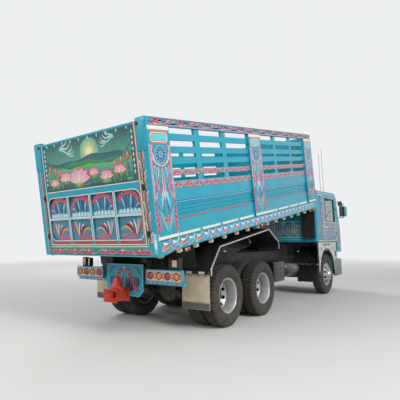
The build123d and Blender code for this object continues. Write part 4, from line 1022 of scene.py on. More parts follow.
@dataclass
class Tailgate:
    """The tailgate's painting, its eight painted windows, and the posts and beam around them.

    Attributes:
        picture_u: The painting's half width.
        picture_v: Its foot and top.
        recess: How deep it lies behind the gate's face.
        window: A window's half width and half height.
        window_us: The windows' middles across the gate.
        window_vs: The middles of the lower and upper row.
        window_depth: How deep their backs lie.
        corner: The radius of the outer windows' corners.
    """

    picture_u: float = 1.045
    picture_v: tuple = (1.055, 1.835)
    recess: float = 0.008
    window: tuple = (0.245, 0.17)
    window_us: tuple = (-0.8025, -0.2675, 0.2675, 0.8025)
    window_vs: tuple = (0.40, 0.77)
    window_depth: float = 0.030
    corner: float = 0.13

    def lotus(self, art: Ornament, centre: tuple, size: float, layer: float) -> None:
        """A lotus: outer petals lie out, inner ones stand, each pink at its tip, with an amber heart."""
        for ring, (spread, length, count) in enumerate(((74, 1.0, 4), (50, 1.02, 3), (24, 0.96, 2))):
            for k in range(count):
                for side in (-1, 1):
                    turn = side * (spread - 12 * k)
                    art.leaf(centre, 90 - turn, size * (length - 0.10 * k), size * 0.34, Ink.CREAM,
                             Ink.PINK, Ink.MAGENTA, bend=side * 0.10, layer=layer + 2 * ring + 0.4 * k)
        art.leaf(centre, 90, size * 0.86, size * 0.36, Ink.CREAM, Ink.PINK, Ink.MAGENTA, layer=layer + 8)
        art.disc(centre, size * 0.13, Ink.AMBER, Ink.ORANGE, layer + 10, petals=7, depth=0.4)

    def ridge(self, art: Ornament, foot: float, top: float, waves: tuple, ink: Ink, crest: Ink,
              layer: float) -> None:
        """A far hill: its top is the sum of two sines over the width, and it darkens to its foot."""
        run = np.linspace(-self.picture_u + 0.07, self.picture_u - 0.07, 40)
        swing, often, phase = waves
        rise = top + swing * np.sin(often * run + phase) + swing * 0.5 * np.sin(2.7 * often * run)
        left = np.stack([run, np.full_like(run, foot)], axis=1)
        right = np.stack([run, rise], axis=1)
        art.strip(right, left, crest, layer, ink)

    def painting(self) -> None:
        """A lotus pond at dawn, in a dark border set with pale sparks: a common subject, made up here."""
        art = Ornament(rear_canvas(self.recess))
        low, high = self.picture_v
        wide = self.picture_u
        inner = wide - 0.07
        art.box((-wide, wide), (low, high), Ink.FOREST, 1, Ink.PINE)
        art.box((-inner, inner), (1.40, high - 0.03), Ink.JADE, 2, Ink.PINE, steps=6)
        art.disc((0.10, 1.60), 0.215, Ink.JADE, Ink.SUNLIGHT, 3, steps=40)
        art.disc((0.10, 1.60), 0.075, Ink.SUNLIGHT, Ink.CREAM, 4, steps=24)
        for k in range(14):
            ray = 360 / 14 * k + 8
            root = placed([(0.09, 0)], (0.10, 1.60), ray)[0]
            art.leaf(tuple(root), ray, 0.11 if k % 2 else 0.07, 0.014, Ink.SUNLIGHT, Ink.JADE, layer=5)
        for u, v, size, flip in ((-0.62, 1.70, 0.30, 1), (-0.44, 1.61, 0.20, 1), (0.66, 1.72, 0.26, -1),
                                 (0.52, 1.66, 0.18, -1)):
            for turn, ink in ((0, Ink.SKY), (22, Ink.AQUA), (-20, Ink.MINT)):
                art.flame((u, v), (180 if flip < 0 else 0) + turn, size, ink, Ink.CREAM, flip=flip, layer=5,
                          fat=0.12)
        self.ridge(art, 1.34, 1.52, (0.030, 4.2, 0.4), Ink.DEEP_TEAL, Ink.PINE, 6)
        self.ridge(art, 1.34, 1.455, (0.028, 5.4, 2.0), Ink.FOREST, Ink.GREEN, 7)
        self.ridge(art, 1.30, 1.395, (0.016, 7.7, 1.1), Ink.GREEN, Ink.LEAF, 8)
        art.box((-inner, inner), (low + 0.02, 1.36), Ink.FOREST, 9, Ink.JADE, steps=5)
        self.pond(art)
        for k in range(1, 9):
            for side in (-1, 1):
                self.diamond(art, (side * (wide - 0.036), low + 0.05 + (high - low - 0.06) / 9 * k), 0.020)
        for k in range(10):
            self.diamond(art, (-wide + 0.12 + (2 * wide - 0.24) / 9 * k, high - 0.022), 0.016)
        art.finish("tailgate_painting", "tailgate")

    def pond(self, art: Ornament) -> None:
        """The water's ripples and pads, reeds at both ends, buds and flowers."""
        for k in range(26):
            u = -0.93 + 0.0728 * k
            v = 1.10 + 0.235 * ((k * 7) % 13) / 13
            ink = (Ink.AQUA, Ink.MINT, Ink.LEAF)[k % 3]
            art.stroke([(u - 0.07, v), (u, v + 0.012), (u + 0.07, v)], 0.007, ink, shape=Stroke.LEAF,
                       layer=10, steps=7)
        pads = ((-0.80, 1.13, 0.115), (-0.52, 1.20, 0.10), (-0.20, 1.11, 0.13), (0.16, 1.21, 0.10),
                (0.42, 1.12, 0.12), (0.74, 1.19, 0.11), (0.90, 1.10, 0.075), (-0.93, 1.24, 0.07),
                (-0.02, 1.28, 0.07), (0.56, 1.30, 0.07))
        for i, (u, v, r) in enumerate(pads):
            art.disc((u, v), r, Ink.GREEN, Ink.LEAF, 11 + 0.05 * i, petals=1, depth=0.18, steps=28,
                     high=0.36)
            for turn in (20, 65, 115, 160):
                art.leaf((u, v), turn, r * 0.5, 0.006, Ink.MINT, Ink.LEAF, layer=12)
        for side in (-1, 1):
            for k in range(7):
                u = side * (0.965 - 0.045 * k)
                art.leaf((u, 1.07), 90 + side * (4 + 5 * k), 0.52 - 0.055 * k, 0.030, Ink.FOREST,
                         Ink.LEAF if k % 2 else Ink.GREEN, bend=side * 0.14, layer=13 + 0.1 * k)
            for k in range(3):
                u = side * (0.86 - 0.13 * k)
                art.stroke([(u, 1.08), (u - side * 0.02, 1.25), (u + side * 0.03, 1.38 - 0.05 * k)], 0.010,
                           Ink.LEAF, shape=Stroke.LINE, layer=14)
                art.leaf((u + side * 0.03, 1.37 - 0.05 * k), 90, 0.12, 0.055, Ink.MAGENTA, Ink.PINK,
                         Ink.CRIMSON, layer=15)
        for u, v, size in ((-0.50, 1.19, 0.17), (0.44, 1.14, 0.15), (0.17, 1.23, 0.12), (-0.80, 1.14, 0.13),
                           (0.72, 1.20, 0.14)):
            self.lotus(art, (u, v), size, 16)
        self.lotus(art, (-0.17, 1.13), 0.27, 20)

    def diamond(self, art: Ornament, centre: tuple, size: float) -> None:
        """A pale four-pointed spark."""
        for turn in (0, 90, 180, 270):
            art.leaf(centre, turn + 90, size * (1.5 if turn in (0, 180) else 1.0), size * 0.7, Ink.SKY,
                     Ink.WHITE, layer=15)

    def upper_window(self, art: Ornament, u: float, v: float, lean: int) -> None:
        """An arch of crimson leaves over dark plumes, with pale tufts at its foot."""
        w, h = self.window
        art.box((u - w, u + w), (v - h, v + h), Ink.STEEL, 1, Ink.NIGHT, steps=3)
        art.box((u - w, u + w), (v - h, v - h * 0.62), Ink.SKY, 2, Ink.AQUA)
        arch = curve([(u - lean * w * 0.95, v - h * 0.85), (u - lean * w * 0.7, v + h * 0.9),
                      (u + lean * w * 0.25, v + h * 1.25), (u + lean * w * 0.85, v + h * 0.1)], 9)
        for k in range(9):
            t = k / 8
            foot = (u + lean * w * (-0.55 + 1.1 * t), v - h * 0.62)
            ink, tip = ((Ink.BLACK, Ink.BLUE), (Ink.TEAL, Ink.SKY), (Ink.NAVY, Ink.TEAL))[k % 3]
            art.stroke([foot, ((foot[0] + arch[k][0]) / 2 - lean * 0.02, v), tuple(arch[k])], 0.034, ink,
                       tip, shape=Stroke.LEAF, layer=3 + k % 2, steps=8)
        for k in range(8):
            step = arch[k + 1] - arch[k]
            angle = math.degrees(math.atan2(step[1], step[0]))
            art.leaf(tuple(arch[k]), angle + lean * 18, 0.105, 0.046, *EMBER, layer=6 + k % 2)
        for k in range(6):
            art.leaf((u - w * 0.85 + w * 0.34 * k, v - h * 0.96), 90 + 14 * (k - 2.5), 0.085, 0.038,
                     Ink.WHITE, Ink.SKY, layer=9)

    def lower_window(self, art: Ornament, u: float, v: float, lean: int) -> None:
        """Curved plumes that fan out from the foot on one side, with crimson buds below them."""
        w, h = self.window
        art.box((u - w, u + w), (v - h, v + h), Ink.STEEL, 1, Ink.DEEP_TEAL, steps=3)
        inks = ((Ink.BLACK, Ink.NAVY), (Ink.TEAL, Ink.AQUA), (Ink.ORANGE, Ink.AMBER), (Ink.BLACK, Ink.TEAL),
                (Ink.WHITE, Ink.SKY), (Ink.NAVY, Ink.BLUE), (Ink.TAN, Ink.CREAM),
                (Ink.CRIMSON, Ink.MAGENTA))
        for k in range(11):
            t = k / 10
            ink, tip = inks[k % 8]
            root = (u + lean * w * (-0.35 + 0.15 * t), v - h * 0.85)
            end = (u + lean * w * (-0.92 + 1.84 * t), v + h * (0.92 - 1.1 * t * t))
            bow = (u + lean * w * (-0.75 + 1.0 * t), v + h * (0.1 + 0.5 * t))
            art.stroke([root, bow, end], 0.036, ink, tip, shape=Stroke.LEAF, layer=2 + k % 3, steps=9)
        for k in range(5):
            art.leaf((u + lean * w * (-0.2 + 0.2 * k), v - h * 0.88), 90 - lean * 25 * (k - 1), 0.075,
                     0.036, *EMBER, layer=7)
        art.leaf((u - lean * w * 0.86, v + h * 0.75), -90, 0.16, 0.032, *FIRE, layer=7)

    def spandrel(self, art: Ornament, corner: tuple, way: tuple) -> None:
        """Close a window's square corner with a flat web that leaves a quarter circle."""
        r = self.corner
        a = quarter(9)
        arc = np.stack([r * (1 - np.cos(a)), r * (1 - np.sin(a))], axis=1)
        edge = np.stack([np.clip(2 * a / np.pi - 0.5, 0, 0.5) * 2 * r,
                         np.clip(0.5 - 2 * a / np.pi, 0, 0.5) * 2 * r], axis=1)
        left, right = (edge, arc) if way[0] * way[1] < 0 else (arc, edge)
        scale = np.array(way) * (-1.0, -1.0)
        art.strip(np.array(corner) + left * scale, np.array(corner) + right * scale, Ink.TEAL, 0)

    def outline(self, art: Ornament, u: float, v: float, round_at: tuple | None) -> None:
        """A cream line round a window, bent round the corner that is given."""
        w, h = self.window[0] + 0.006, self.window[1] + 0.006
        points = []
        for way in ((1, -1), (1, 1), (-1, 1), (-1, -1)):
            spot = np.array([u + way[0] * w, v + way[1] * h])
            if way != round_at:
                points.append(spot)
                continue
            a = np.radians(np.linspace(0, 90, 7)) + {(1, -1): -np.pi / 2, (1, 1): 0, (-1, 1): np.pi / 2,
                                                     (-1, -1): np.pi}[way]
            middle = spot - np.array(way) * self.corner
            points += list(middle + self.corner * np.stack([np.cos(a), np.sin(a)], axis=1))
        art.line(points, 0.012, Ink.CREAM, 2, closed=True)

    def windows(self) -> None:
        """Paint the backs of the windows and the lines round them."""
        back = Ornament(rear_canvas(self.window_depth))
        face = Ornament(rear_canvas())
        for column, u in enumerate(self.window_us):
            lean = 1 if column < 2 else -1
            self.upper_window(back, u, self.window_vs[1], lean)
            self.lower_window(back, u, self.window_vs[0], lean)
            for row, v in enumerate(self.window_vs):
                way = ((-1 if column == 0 else 1), (1 if row else -1)) if column in (0, 3) else None
                if way:
                    self.spandrel(face, (u + way[0] * self.window[0], v + way[1] * self.window[1]), way)
                self.outline(face, u, v, way)
        back.finish("window_paintings", "tailgate")
        self.face_lines(face)
        face.finish("tailgate_lines", "tailgate")

    def face_lines(self, art: Ornament) -> None:
        """The gate's own lines: below the painting, down its sides, and the red band at its foot."""
        art.level((-1.05, 1.05), 1.046, 0.012, Ink.CREAM, 2)
        art.level((-1.085, 1.085), 0.158, 0.012, Ink.CREAM, 2)
        for u in self.window_us:
            art.box((u - 0.235, u + 0.235), (0.168, 0.216), Ink.RED, 2)
        for u, width, ink in ((1.083, 0.012, Ink.TAN), (1.071, 0.010, Ink.CREAM),
                              (1.060, 0.010, Ink.ORANGE), (1.052, 0.006, Ink.BLACK),
                              (-1.083, 0.010, Ink.ORANGE), (-1.073, 0.009, Ink.CREAM)):
            art.upright(u, (0.17, 1.865), width, ink, 2)

    def posts(self) -> None:
        """The rear posts: a red stripe on the left one, a chain of flames on the right one."""
        art = Ornament(rear_canvas())
        for u, width, ink in ((-1.155, 0.030, Ink.RED), (-1.175, 0.006, Ink.CREAM),
                              (-1.112, 0.014, Ink.FOREST)):
            art.upright(u, (0.0, 1.88), width, ink, 2)
        art.box((1.108, 1.192), (0.15, 1.44), Ink.DEEP_TEAL, 1)
        for u, ink in ((1.110, Ink.CREAM), (1.192, Ink.AQUA), (1.118, Ink.TAN)):
            art.upright(u, (0.15, 1.44), 0.006, ink, 2)
        for k in range(9):
            v = 0.17 + 0.142 * k
            flip = 1 if k % 2 else -1
            art.flame((1.15 - flip * 0.012, v), 90 - flip * 3, 0.15, Ink.CRIMSON if k % 3 else Ink.MAGENTA,
                      Ink.PINK, Ink.CREAM, flip=flip, layer=3, fat=0.2)
            art.flame((1.15 + flip * 0.014, v + 0.04), 90 + flip * 3, 0.12, Ink.TAN, Ink.ORANGE,
                      Ink.DEEP_TEAL, flip=-flip, layer=5, fat=0.2)
            art.leaf((1.15, v + 0.05), 90, 0.10, 0.016, Ink.BLACK, Ink.FOREST, layer=7)
        art.box((1.205, 1.262), (0.02, 0.30), Ink.AQUA, 1, Ink.SKY)
        art.box((1.215, 1.252), (0.10, 0.22), Ink.WHITE, 3)
        art.finish("rear_post_lines", "bed")

    def beam(self) -> None:
        """The beam below the gate: dark green, with groups of crimson leaves between two lines."""
        art = Ornament(rear_canvas())
        art.box((-1.10, 1.10), (-0.015, 0.125), Ink.PINE, 1, Ink.GREEN)
        art.level((-1.10, 1.10), 0.133, 0.012, Ink.CREAM, 2)
        for edge in (-0.010, 0.112):
            art.level((-1.10, 1.10), edge, 0.007, Ink.AQUA, 2)
        for phase, ink in ((0.0, Ink.TEAL), (2.4, Ink.AQUA)):
            art.wave((-1.09, 1.09), 0.05, 0.035, 0.44, 0.012, ink, phase, 2)
        for u in (-0.86, -0.48, -0.14, 0.24, 0.60, 0.93):
            for k in range(3):
                art.leaf((u + 0.10 * (k - 1), 0.045), 180 if u < 0 else 0, 0.12, 0.048, *FIRE,
                         layer=4 + k)
            art.leaf((u, 0.05), 90, 0.05, 0.02, Ink.CREAM, Ink.PINK, layer=8)
        art.finish("rear_beam_lines", "bed")

    def build(self) -> None:
        """Paint the gate, its posts and its beam."""
        self.painting()
        self.windows()
        self.posts()
        self.beam()


def rounded(width: float, height: float, r: float, steps: int = 4) -> np.ndarray:
    """The outline of a rectangle about the origin, with a quarter circle of radius r at each corner."""
    a = quarter(steps)
    arc = np.stack([np.cos(a), np.sin(a)], axis=1) * r
    turns = [np.array([[math.cos(q), math.sin(q)], [-math.sin(q), math.cos(q)]])
             for q in np.pi / 2 * np.arange(4)]
    ends = [(width / 2 - r, height / 2 - r), (r - width / 2, height / 2 - r),
            (r - width / 2, r - height / 2), (width / 2 - r, r - height / 2)]
    return np.concatenate([arc @ turned + end for turned, end in zip(turns, ends)])


def bottle(r: float, length: float, bulge: float, steps: int) -> np.ndarray:
    """The outline of a round tank: radius and height, with an elliptic dome of some height at each end."""
    a = quarter(steps)
    cap = np.stack([r * np.sin(a), bulge * (1 - np.cos(a))], axis=1)
    return np.concatenate([cap, np.array([1.0, -1.0]) * cap[::-1] + (0, length)])


def dome(r: float, foot: float, rise: float, steps: int) -> np.ndarray:
    """The outline of a lens: its height falls as the square of the share of the radius."""
    share = np.linspace(0, 1, steps)
    return np.stack([r * share, foot + rise * (1 - share ** 2)], axis=1)


def stud(r: float, low: float, shoulder: float, small: float, top: float) -> list[Span]:
    """The outline of a bolt's head: straight to its shoulder, then narrower to its top."""
    return [(0, low), (r, low), (r, shoulder), (small, top), (0, top)]


class Shape:
    """Closed surfaces worked out on grids of points, joined in one mesh."""

    def __init__(self) -> None:
        """Start with no surface."""
        self.points: list[np.ndarray] = []
        self.faces: list[np.ndarray] = []
        self.count = 0

    def add(self, points: np.ndarray, faces: np.ndarray) -> None:
        """Add a closed surface, facing so that the sum of its faces' tetrahedra is positive."""
        a, b, c, d = (points[faces[:, i]] for i in range(4))
        volume = (np.cross(a, b) * c).sum() + (np.cross(a, c) * d).sum()
        self.faces.append((faces if volume > 0 else faces[:, ::-1]) + self.count)
        self.points.append(points)
        self.count += len(points)

    @staticmethod
    def quads(rows: int, columns: int, ring: bool, first: int = 0) -> np.ndarray:
        """The quads between neighbouring rows, each row a loop, and back to the first row for a ring."""
        index = np.arange(rows * columns).reshape(rows, columns) + first
        low, high = (index, np.roll(index, -1, axis=0)) if ring else (index[:-1], index[1:])
        return np.stack([low, np.roll(low, -1, axis=1), np.roll(high, -1, axis=1), high],
                        axis=-1).reshape(-1, 4)

    def grid(self, rows: np.ndarray, ring: bool = False) -> None:
        """Add a closed surface from rows of points, each a loop. Without a ring the end rows are poles."""
        self.add(rows.reshape(-1, 3), self.quads(rows.shape[0], rows.shape[1], ring))

    def turned(self, profile, centre, axis, steps: int = 32, start: float = 0.0) -> None:
        """Turn an outline round an axis: each point goes round on a circle of its own radius.

        Args:
            profile: Radius and height of each point. It starts and ends on the axis, or else is a ring.
            centre: The place of height 0.
            axis: The way that height grows.
            steps: The points on each circle.
            start: The angle of the first one, in degrees.
        """
        line = np.asarray(profile, float)
        axis = unit(axis)
        first = unit(np.cross(axis, (1.0, 0.0, 0.0) if abs(axis[0]) < 0.7 else (0.0, 0.0, 1.0)))
        a = full_turn(steps) + math.radians(start)
        circle = np.cos(a)[:, None] * first + np.sin(a)[:, None] * np.cross(axis, first)
        rows = np.asarray(centre) + line[:, 0, None, None] * circle + line[:, 1, None, None] * axis
        self.grid(rows, ring=bool(line[0, 0] > SEAM))

    def slab(self, outline, canvas: Canvas, low: float, high: float, edge: float, rounds: int = 1) -> None:
        """Raise an outline off a canvas, its edges rounded over by a quarter circle in some steps.

        Args:
            outline: Its points in u and v, round a middle that sees them all.
            canvas: The face that it stands on.
            low: The height of its back.
            high: The height of its front.
            edge: The radius of the rounding.
            rounds: The steps in it, 1 for a chamfer.
        """
        flat = np.asarray(outline, float)
        middle = flat.mean(axis=0)
        away = units(flat - middle)
        a = quarter(rounds + 1)
        inset = edge * (1 - np.sin(a))
        rise = edge * (1 - np.cos(a))
        rows = [canvas.place(np.tile(middle, (len(flat), 1)), low)]
        rows += [canvas.place(flat - away * i, low + r) for i, r in zip(inset, rise)]
        rows += [canvas.place(flat - away * i, high - r) for i, r in zip(inset[::-1], rise[::-1])]
        rows.append(canvas.place(np.tile(middle, (len(flat), 1)), high))
        self.grid(np.stack(rows))

    def tube(self, path, r: float, sides: int = 10, flat: float = 1.0) -> None:
        """Carry a circle along a path and close both ends.

        Args:
            path: The points that it follows.
            r: Its radius.
            sides: The points round it.
            flat: How much of its width is left across the first side, for a flattened bar.
        """
        line = np.asarray(path, float)
        way = units(np.gradient(line, axis=0))
        spread = np.abs(way).mean(axis=0)
        level = np.eye(3)[int(np.argmin(spread))]
        side = units(np.cross(way, level))
        over = np.cross(side, way)
        a = full_turn(sides)
        loop = np.cos(a)[None, :, None] * side[:, None] * flat + np.sin(a)[None, :, None] * over[:, None]
        rows = line[:, None] + r * loop
        ends = [np.repeat(line[i][None, None], sides, axis=1) for i in (0, -1)]
        self.grid(np.concatenate([ends[0], rows, ends[1]]))

    def finish(self, name: str, body: str, finish: Finish, slot: str, replaces: tuple = ()) -> Piece:
        """Join the surfaces in one piece, close its seams and poles, and dress it.

        Args:
            name: The piece's name.
            body: The body that it rides on.
            finish: Its finish.
            slot: The record's material slot; not used.
            replaces: The nodes that it stands for.

        Returns:
            The piece.
        """
        mesh = mesh_of(name, self.points, self.faces)
        whole = bmesh.new()
        whole.from_mesh(mesh)
        bmesh.ops.remove_doubles(whole, verts=whole.verts, dist=SEAM)
        whole.to_mesh(mesh)
        whole.free()
        mesh.shade_smooth()
        mesh.set_sharp_from_angle(angle=math.radians(SHARP))
        made = linked(name, mesh)
        PAINTSHOP.dress(made, finish)
        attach(made, body)
        if replaces:
            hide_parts(*replaces)
        LOG.info("%s: %d surfaces, %d faces", name, len(self.faces), len(mesh.polygons))
        return made


@dataclass
class RunningGear:
    """Tyres with their tread, pressed wheels with hand holes, nuts, drums and hub caps.

    Attributes:
        front_tyre: The distance of the front tyres' middles from the truck's middle.
        front_face: The front wheels' mating faces.
        twin_face: The twin wheels' mating face.
        offset: From a mating face to its tyre's middle.
        pitches: The tread blocks round a tyre.
        tread_depth: How deep the grooves are.
        half_section: Half of the tyre's section from its middle: distance, radius, share of the depth that
            a groove all round has there, and share that the grooves between the blocks have.
        hand_holes: The holes round a wheel's disc.
        stud_circle: The radius of the circle of the wheel nuts.
    """

    front_tyre: float = 1.045
    front_face: float = 1.205
    twin_face: float = 0.935
    offset: float = 0.160
    pitches: int = 48
    tread_depth: float = 0.018
    half_section: tuple = (
        (0.000, 0.5270, 0, 0), (0.015, 0.5270, 0, 0), (0.019, 0.5270, 1, 0), (0.027, 0.5269, 1, 0),
        (0.031, 0.5268, 0, 1), (0.054, 0.5262, 0, 1), (0.058, 0.5260, 1, 1), (0.067, 0.5256, 1, 1),
        (0.071, 0.5253, 0, 1), (0.096, 0.5235, 0, 1), (0.105, 0.5165, 0, 1), (0.112, 0.5050, 0, 0.8),
        (0.119, 0.4930, 0, 0.25), (0.1245, 0.4800, 0, 0), (0.1275, 0.4780, 0, 0), (0.1350, 0.4500, 0, 0),
        (0.1390, 0.4150, 0, 0), (0.1375, 0.3800, 0, 0), (0.1305, 0.3480, 0, 0), (0.1275, 0.3440, 0, 0),
        (0.1150, 0.3180, 0, 0), (0.1040, 0.3010, 0, 0), (0.0980, 0.2900, 0, 0), (0.0900, 0.2868, 0, 0),
    )
    hand_holes: int = 10
    stud_circle: float = 0.1675

    def tyre(self, shape: Shape, x: float, y: float) -> None:
        """A tyre: its section goes round the axle, and the tread's grooves sink along its normals."""
        half = np.array(self.half_section)
        table = np.concatenate([half[::-1] * (-1, 1, 1, 1), half[1:]])
        cell = np.arange(self.pitches * 6)
        off = np.abs(table[:, :1])
        blocks = np.where(table[:, :1] < 0, (cell % 6 < 2).astype(float),
                          ((cell + 3) % 6 < 2).astype(float))
        blocks = np.where(off < 0.055, ((cell + 1) % 6 < 1).astype(float), blocks)
        depth = self.tread_depth * np.maximum(table[:, 2:3], table[:, 3:4] * blocks)
        run = units(np.gradient(table[:, :2], axis=0))
        zigzag = 0.005 * (np.abs(cell % 6 - 3) / 1.5 - 1) * (off < 0.08) * (off > 0.001)
        across = table[:, :1] + run[:, 1:2] * depth + zigzag
        reach = table[:, 1:2] - run[:, 0:1] * depth
        a = 2 * np.pi * cell / len(cell)
        rows = np.stack([x + reach * np.cos(a), y + across, AXLE_HEIGHT + reach * np.sin(a)], axis=-1)
        shape.grid(rows, ring=True)

    def wheel(self, shape: Shape, x: float, face: float, out: int) -> None:
        """A wheel: disc, web with hand holes and rim in one closed surface.

        The web's front and back are functions of the angle and of t, from the disc to the rim. Round each
        hole a patch blends the hole's ellipse into its share of the web, and its front, the hole's wall and
        its back are rows of one grid. The hole's front edge is drawn in by a fifth of the web's thickness.

        Args:
            shape: What it is added to.
            x: The axle's place.
            face: The mating face's distance from the truck's middle.
            out: The way from that face to the tyre, 1 or -1 along y.
        """
        web = np.array([(0.180, 0.014), (0.190, 0.018), (0.215, 0.036), (0.240, 0.060), (0.2600, 0.078)])
        thick = np.array([0.012 * 0.45, -0.012 * 0.9])
        stops = np.linspace(0, 1, len(web))
        rim = [(0.2615, 0.088), (0.2540, 0.112), (0.2540, 0.168), (0.2640, 0.190), (0.2650, 0.240),
               (0.2720, 0.252), (0.2850, 0.257), (0.2935, 0.262), (0.2985, 0.2695), (0.3010, 0.2670),
               (0.3000, 0.2590), (0.2880, 0.2530), (0.2856, 0.2450), (0.2856, 0.0720), (0.2880, 0.0670),
               (0.3000, 0.0610), (0.3010, 0.0530), (0.2985, 0.0505), (0.2900, 0.0560), (0.2780, 0.0640)]
        hub = [(0.170, 0.0005), (0.104, 0.0005), (0.104, 0.0135), (0.172, 0.0135)]
        columns = self.hand_holes * 6
        a = 2 * np.pi * np.arange(columns) / columns

        def around(angle: np.ndarray, r: np.ndarray, h: np.ndarray) -> np.ndarray:
            return np.stack([x + r * np.cos(angle), face + out * h, AXLE_HEIGHT + r * np.sin(angle)],
                            axis=-1)

        def on_web(angle: np.ndarray, t: np.ndarray, back: bool) -> np.ndarray:
            r = np.interp(t, stops, web[:, 0]) + (thick[0] if back else 0.0)
            h = np.interp(t, stops, web[:, 1]) + (thick[1] if back else 0.0)
            return around(angle, r, h)

        points: list[np.ndarray] = []
        faces: list[np.ndarray] = []

        def keep(rows: np.ndarray) -> None:
            faces.append(Shape.quads(*rows.shape[:2], False, sum(len(p) for p in points)))
            points.append(rows.reshape(-1, 3))

        for t, first, loops in ((1.0, False, rim), (0.0, True, hub)):
            ends = [on_web(a, np.full(columns, t), back) for back in (first, not first)]
            between = [around(a, np.full(columns, r), np.full(columns, h)) for r, h in loops]
            keep(np.stack([ends[0], *between, ends[1]]))
        side = np.linspace(-1, 1, 7)[:-1]
        one = np.ones(6)
        square = np.concatenate([np.stack([side, -one], 1), np.stack([one, side], 1),
                                 np.stack([-side, one], 1), np.stack([-one, -side], 1)])
        way = np.arctan2(square[:, 1], square[:, 0])
        hole = np.stack([0.46 * np.cos(way), 0.60 * np.sin(way)], axis=1)
        half = np.pi / self.hand_holes
        for k in range(self.hand_holes):
            rows = []
            for share, back in ((1, False), (0.4, False), (0.08, False), (0, False), (0, True), (0.4, True),
                                (1, True)):
                flat = hole * (1 - share) + square * share
                angle, t = (2 * k + 1) * half + flat[:, 0] * half, (flat[:, 1] + 1) / 2
                spot = on_web(angle, t, back)
                if share == 0 and not back:
                    spot = spot * 0.8 + 0.2 * on_web(angle, t, True)
                rows.append(spot)
            keep(np.stack(rows))
        shape.add(np.concatenate(points), np.concatenate(faces))

    def nuts(self, shape: Shape, x: float, face: float, out: int) -> None:
        """The wheel nuts, six-sided cones, each with its stud's end."""
        for k in range(10):
            a = 2 * math.pi * (k + 0.5) / 10
            spot = (x + self.stud_circle * math.cos(a), face, AXLE_HEIGHT + self.stud_circle * math.sin(a))
            shape.turned([(0, 0), (0.0195, 0), (0.0195, 0.003), (0.0165, 0.005), (0.0155, 0.020),
                          (0.0110, 0.024), (0.0085, 0.024), (0.0080, 0.034), (0, 0.036)], spot, (0, out, 0),
                         6, 7.0 * k)

    def corner(self, x: float, side: int, word: str, place: str) -> None:
        """All that turns at one end of an axle."""
        front = place == "front"
        body = f"front_{word}_wheel" if front else f"{place}_{word}_wheels"
        tyre_node = f"tyre_front_{word}" if front else f"tyres_{place}_{word}"
        wheel_node = f"wheel_front_{word}" if front else f"wheels_{place}_{word}"
        rubber, steel, iron, cap = Shape(), Shape(), Shape(), Shape()
        if front:
            self.tyre(rubber, x, side * self.front_tyre)
            self.wheel(steel, x, side * self.front_face, -side)
            self.nuts(steel, x, side * (self.front_face - 0.0005), side)
            iron.turned([(0, 0), (0.2045, 0), (0.2045, 0.150), (0.1950, 0.160), (0.1300, 0.172),
                         (0.1180, 0.190), (0.1180, 0.2740), (0, 0.2740)], (x, side * 0.930, AXLE_HEIGHT),
                        (0, side, 0), 40)
            cap.turned([(0, -0.02), (0.1020, -0.02), (0.1020, 0.018), (0.0980, 0.026), (0.0850, 0.028),
                        (0.0800, 0.036), (0.0760, 0.045), (0.0600, 0.052), (0.0300, 0.0545), (0, 0.055)],
                       (x, side * self.front_face, AXLE_HEIGHT), (0, side, 0), 40)
        else:
            for out in (-1, 1):
                self.tyre(rubber, x, side * (self.twin_face + out * self.offset))
                self.wheel(steel, x, side * self.twin_face, side * out)
            self.nuts(steel, x, side * (self.twin_face + 0.0125), side)
            iron.turned([(0, 0), (0.2045, 0), (0.2045, 0.250), (0.1950, 0.260), (0.1300, 0.275),
                         (0.1020, 0.290), (0.1020, 0.395), (0, 0.395)], (x, side * 0.600, AXLE_HEIGHT),
                        (0, side, 0), 40)
            cap.turned([(0, 0.39), (0.1045, 0.39), (0.1045, 0.402), (0.1000, 0.406), (0.0800, 0.408),
                        (0.0740, 0.420), (0.0550, 0.427), (0, 0.430)], (x, side * 0.600, AXLE_HEIGHT),
                       (0, side, 0), 40)
            for k in range(8):
                a = 2 * math.pi * k / 8
                spot = (x + 0.091 * math.cos(a), side * 1.006, AXLE_HEIGHT + 0.091 * math.sin(a))
                cap.turned(stud(0.009, -0.002, 0.006, 0.007, 0.008), spot, (0, side, 0), 6)
        rubber.finish(f"tread_{place}_{word}", body, TYRE_RUBBER, "tyre", (tyre_node,))
        steel.finish(f"rims_{place}_{word}", body, WHEEL_SILVER, "rim_silver", (wheel_node,))
        iron.finish(f"drum_{place}_{word}", body, CAST_IRON, "axle_iron")
        cap.finish(f"hub_cap_{place}_{word}", body, HUB_BRIGHT if front else HUB_GREY, "bright_metal")

    def build(self) -> None:
        """Build all six corners."""
        for side, word in SIDES:
            self.corner(FRONT_AXLE, side, word, "front")
            self.corner(MID_AXLE, side, word, "mid")
            self.corner(REAR_AXLE, side, word, "rear")


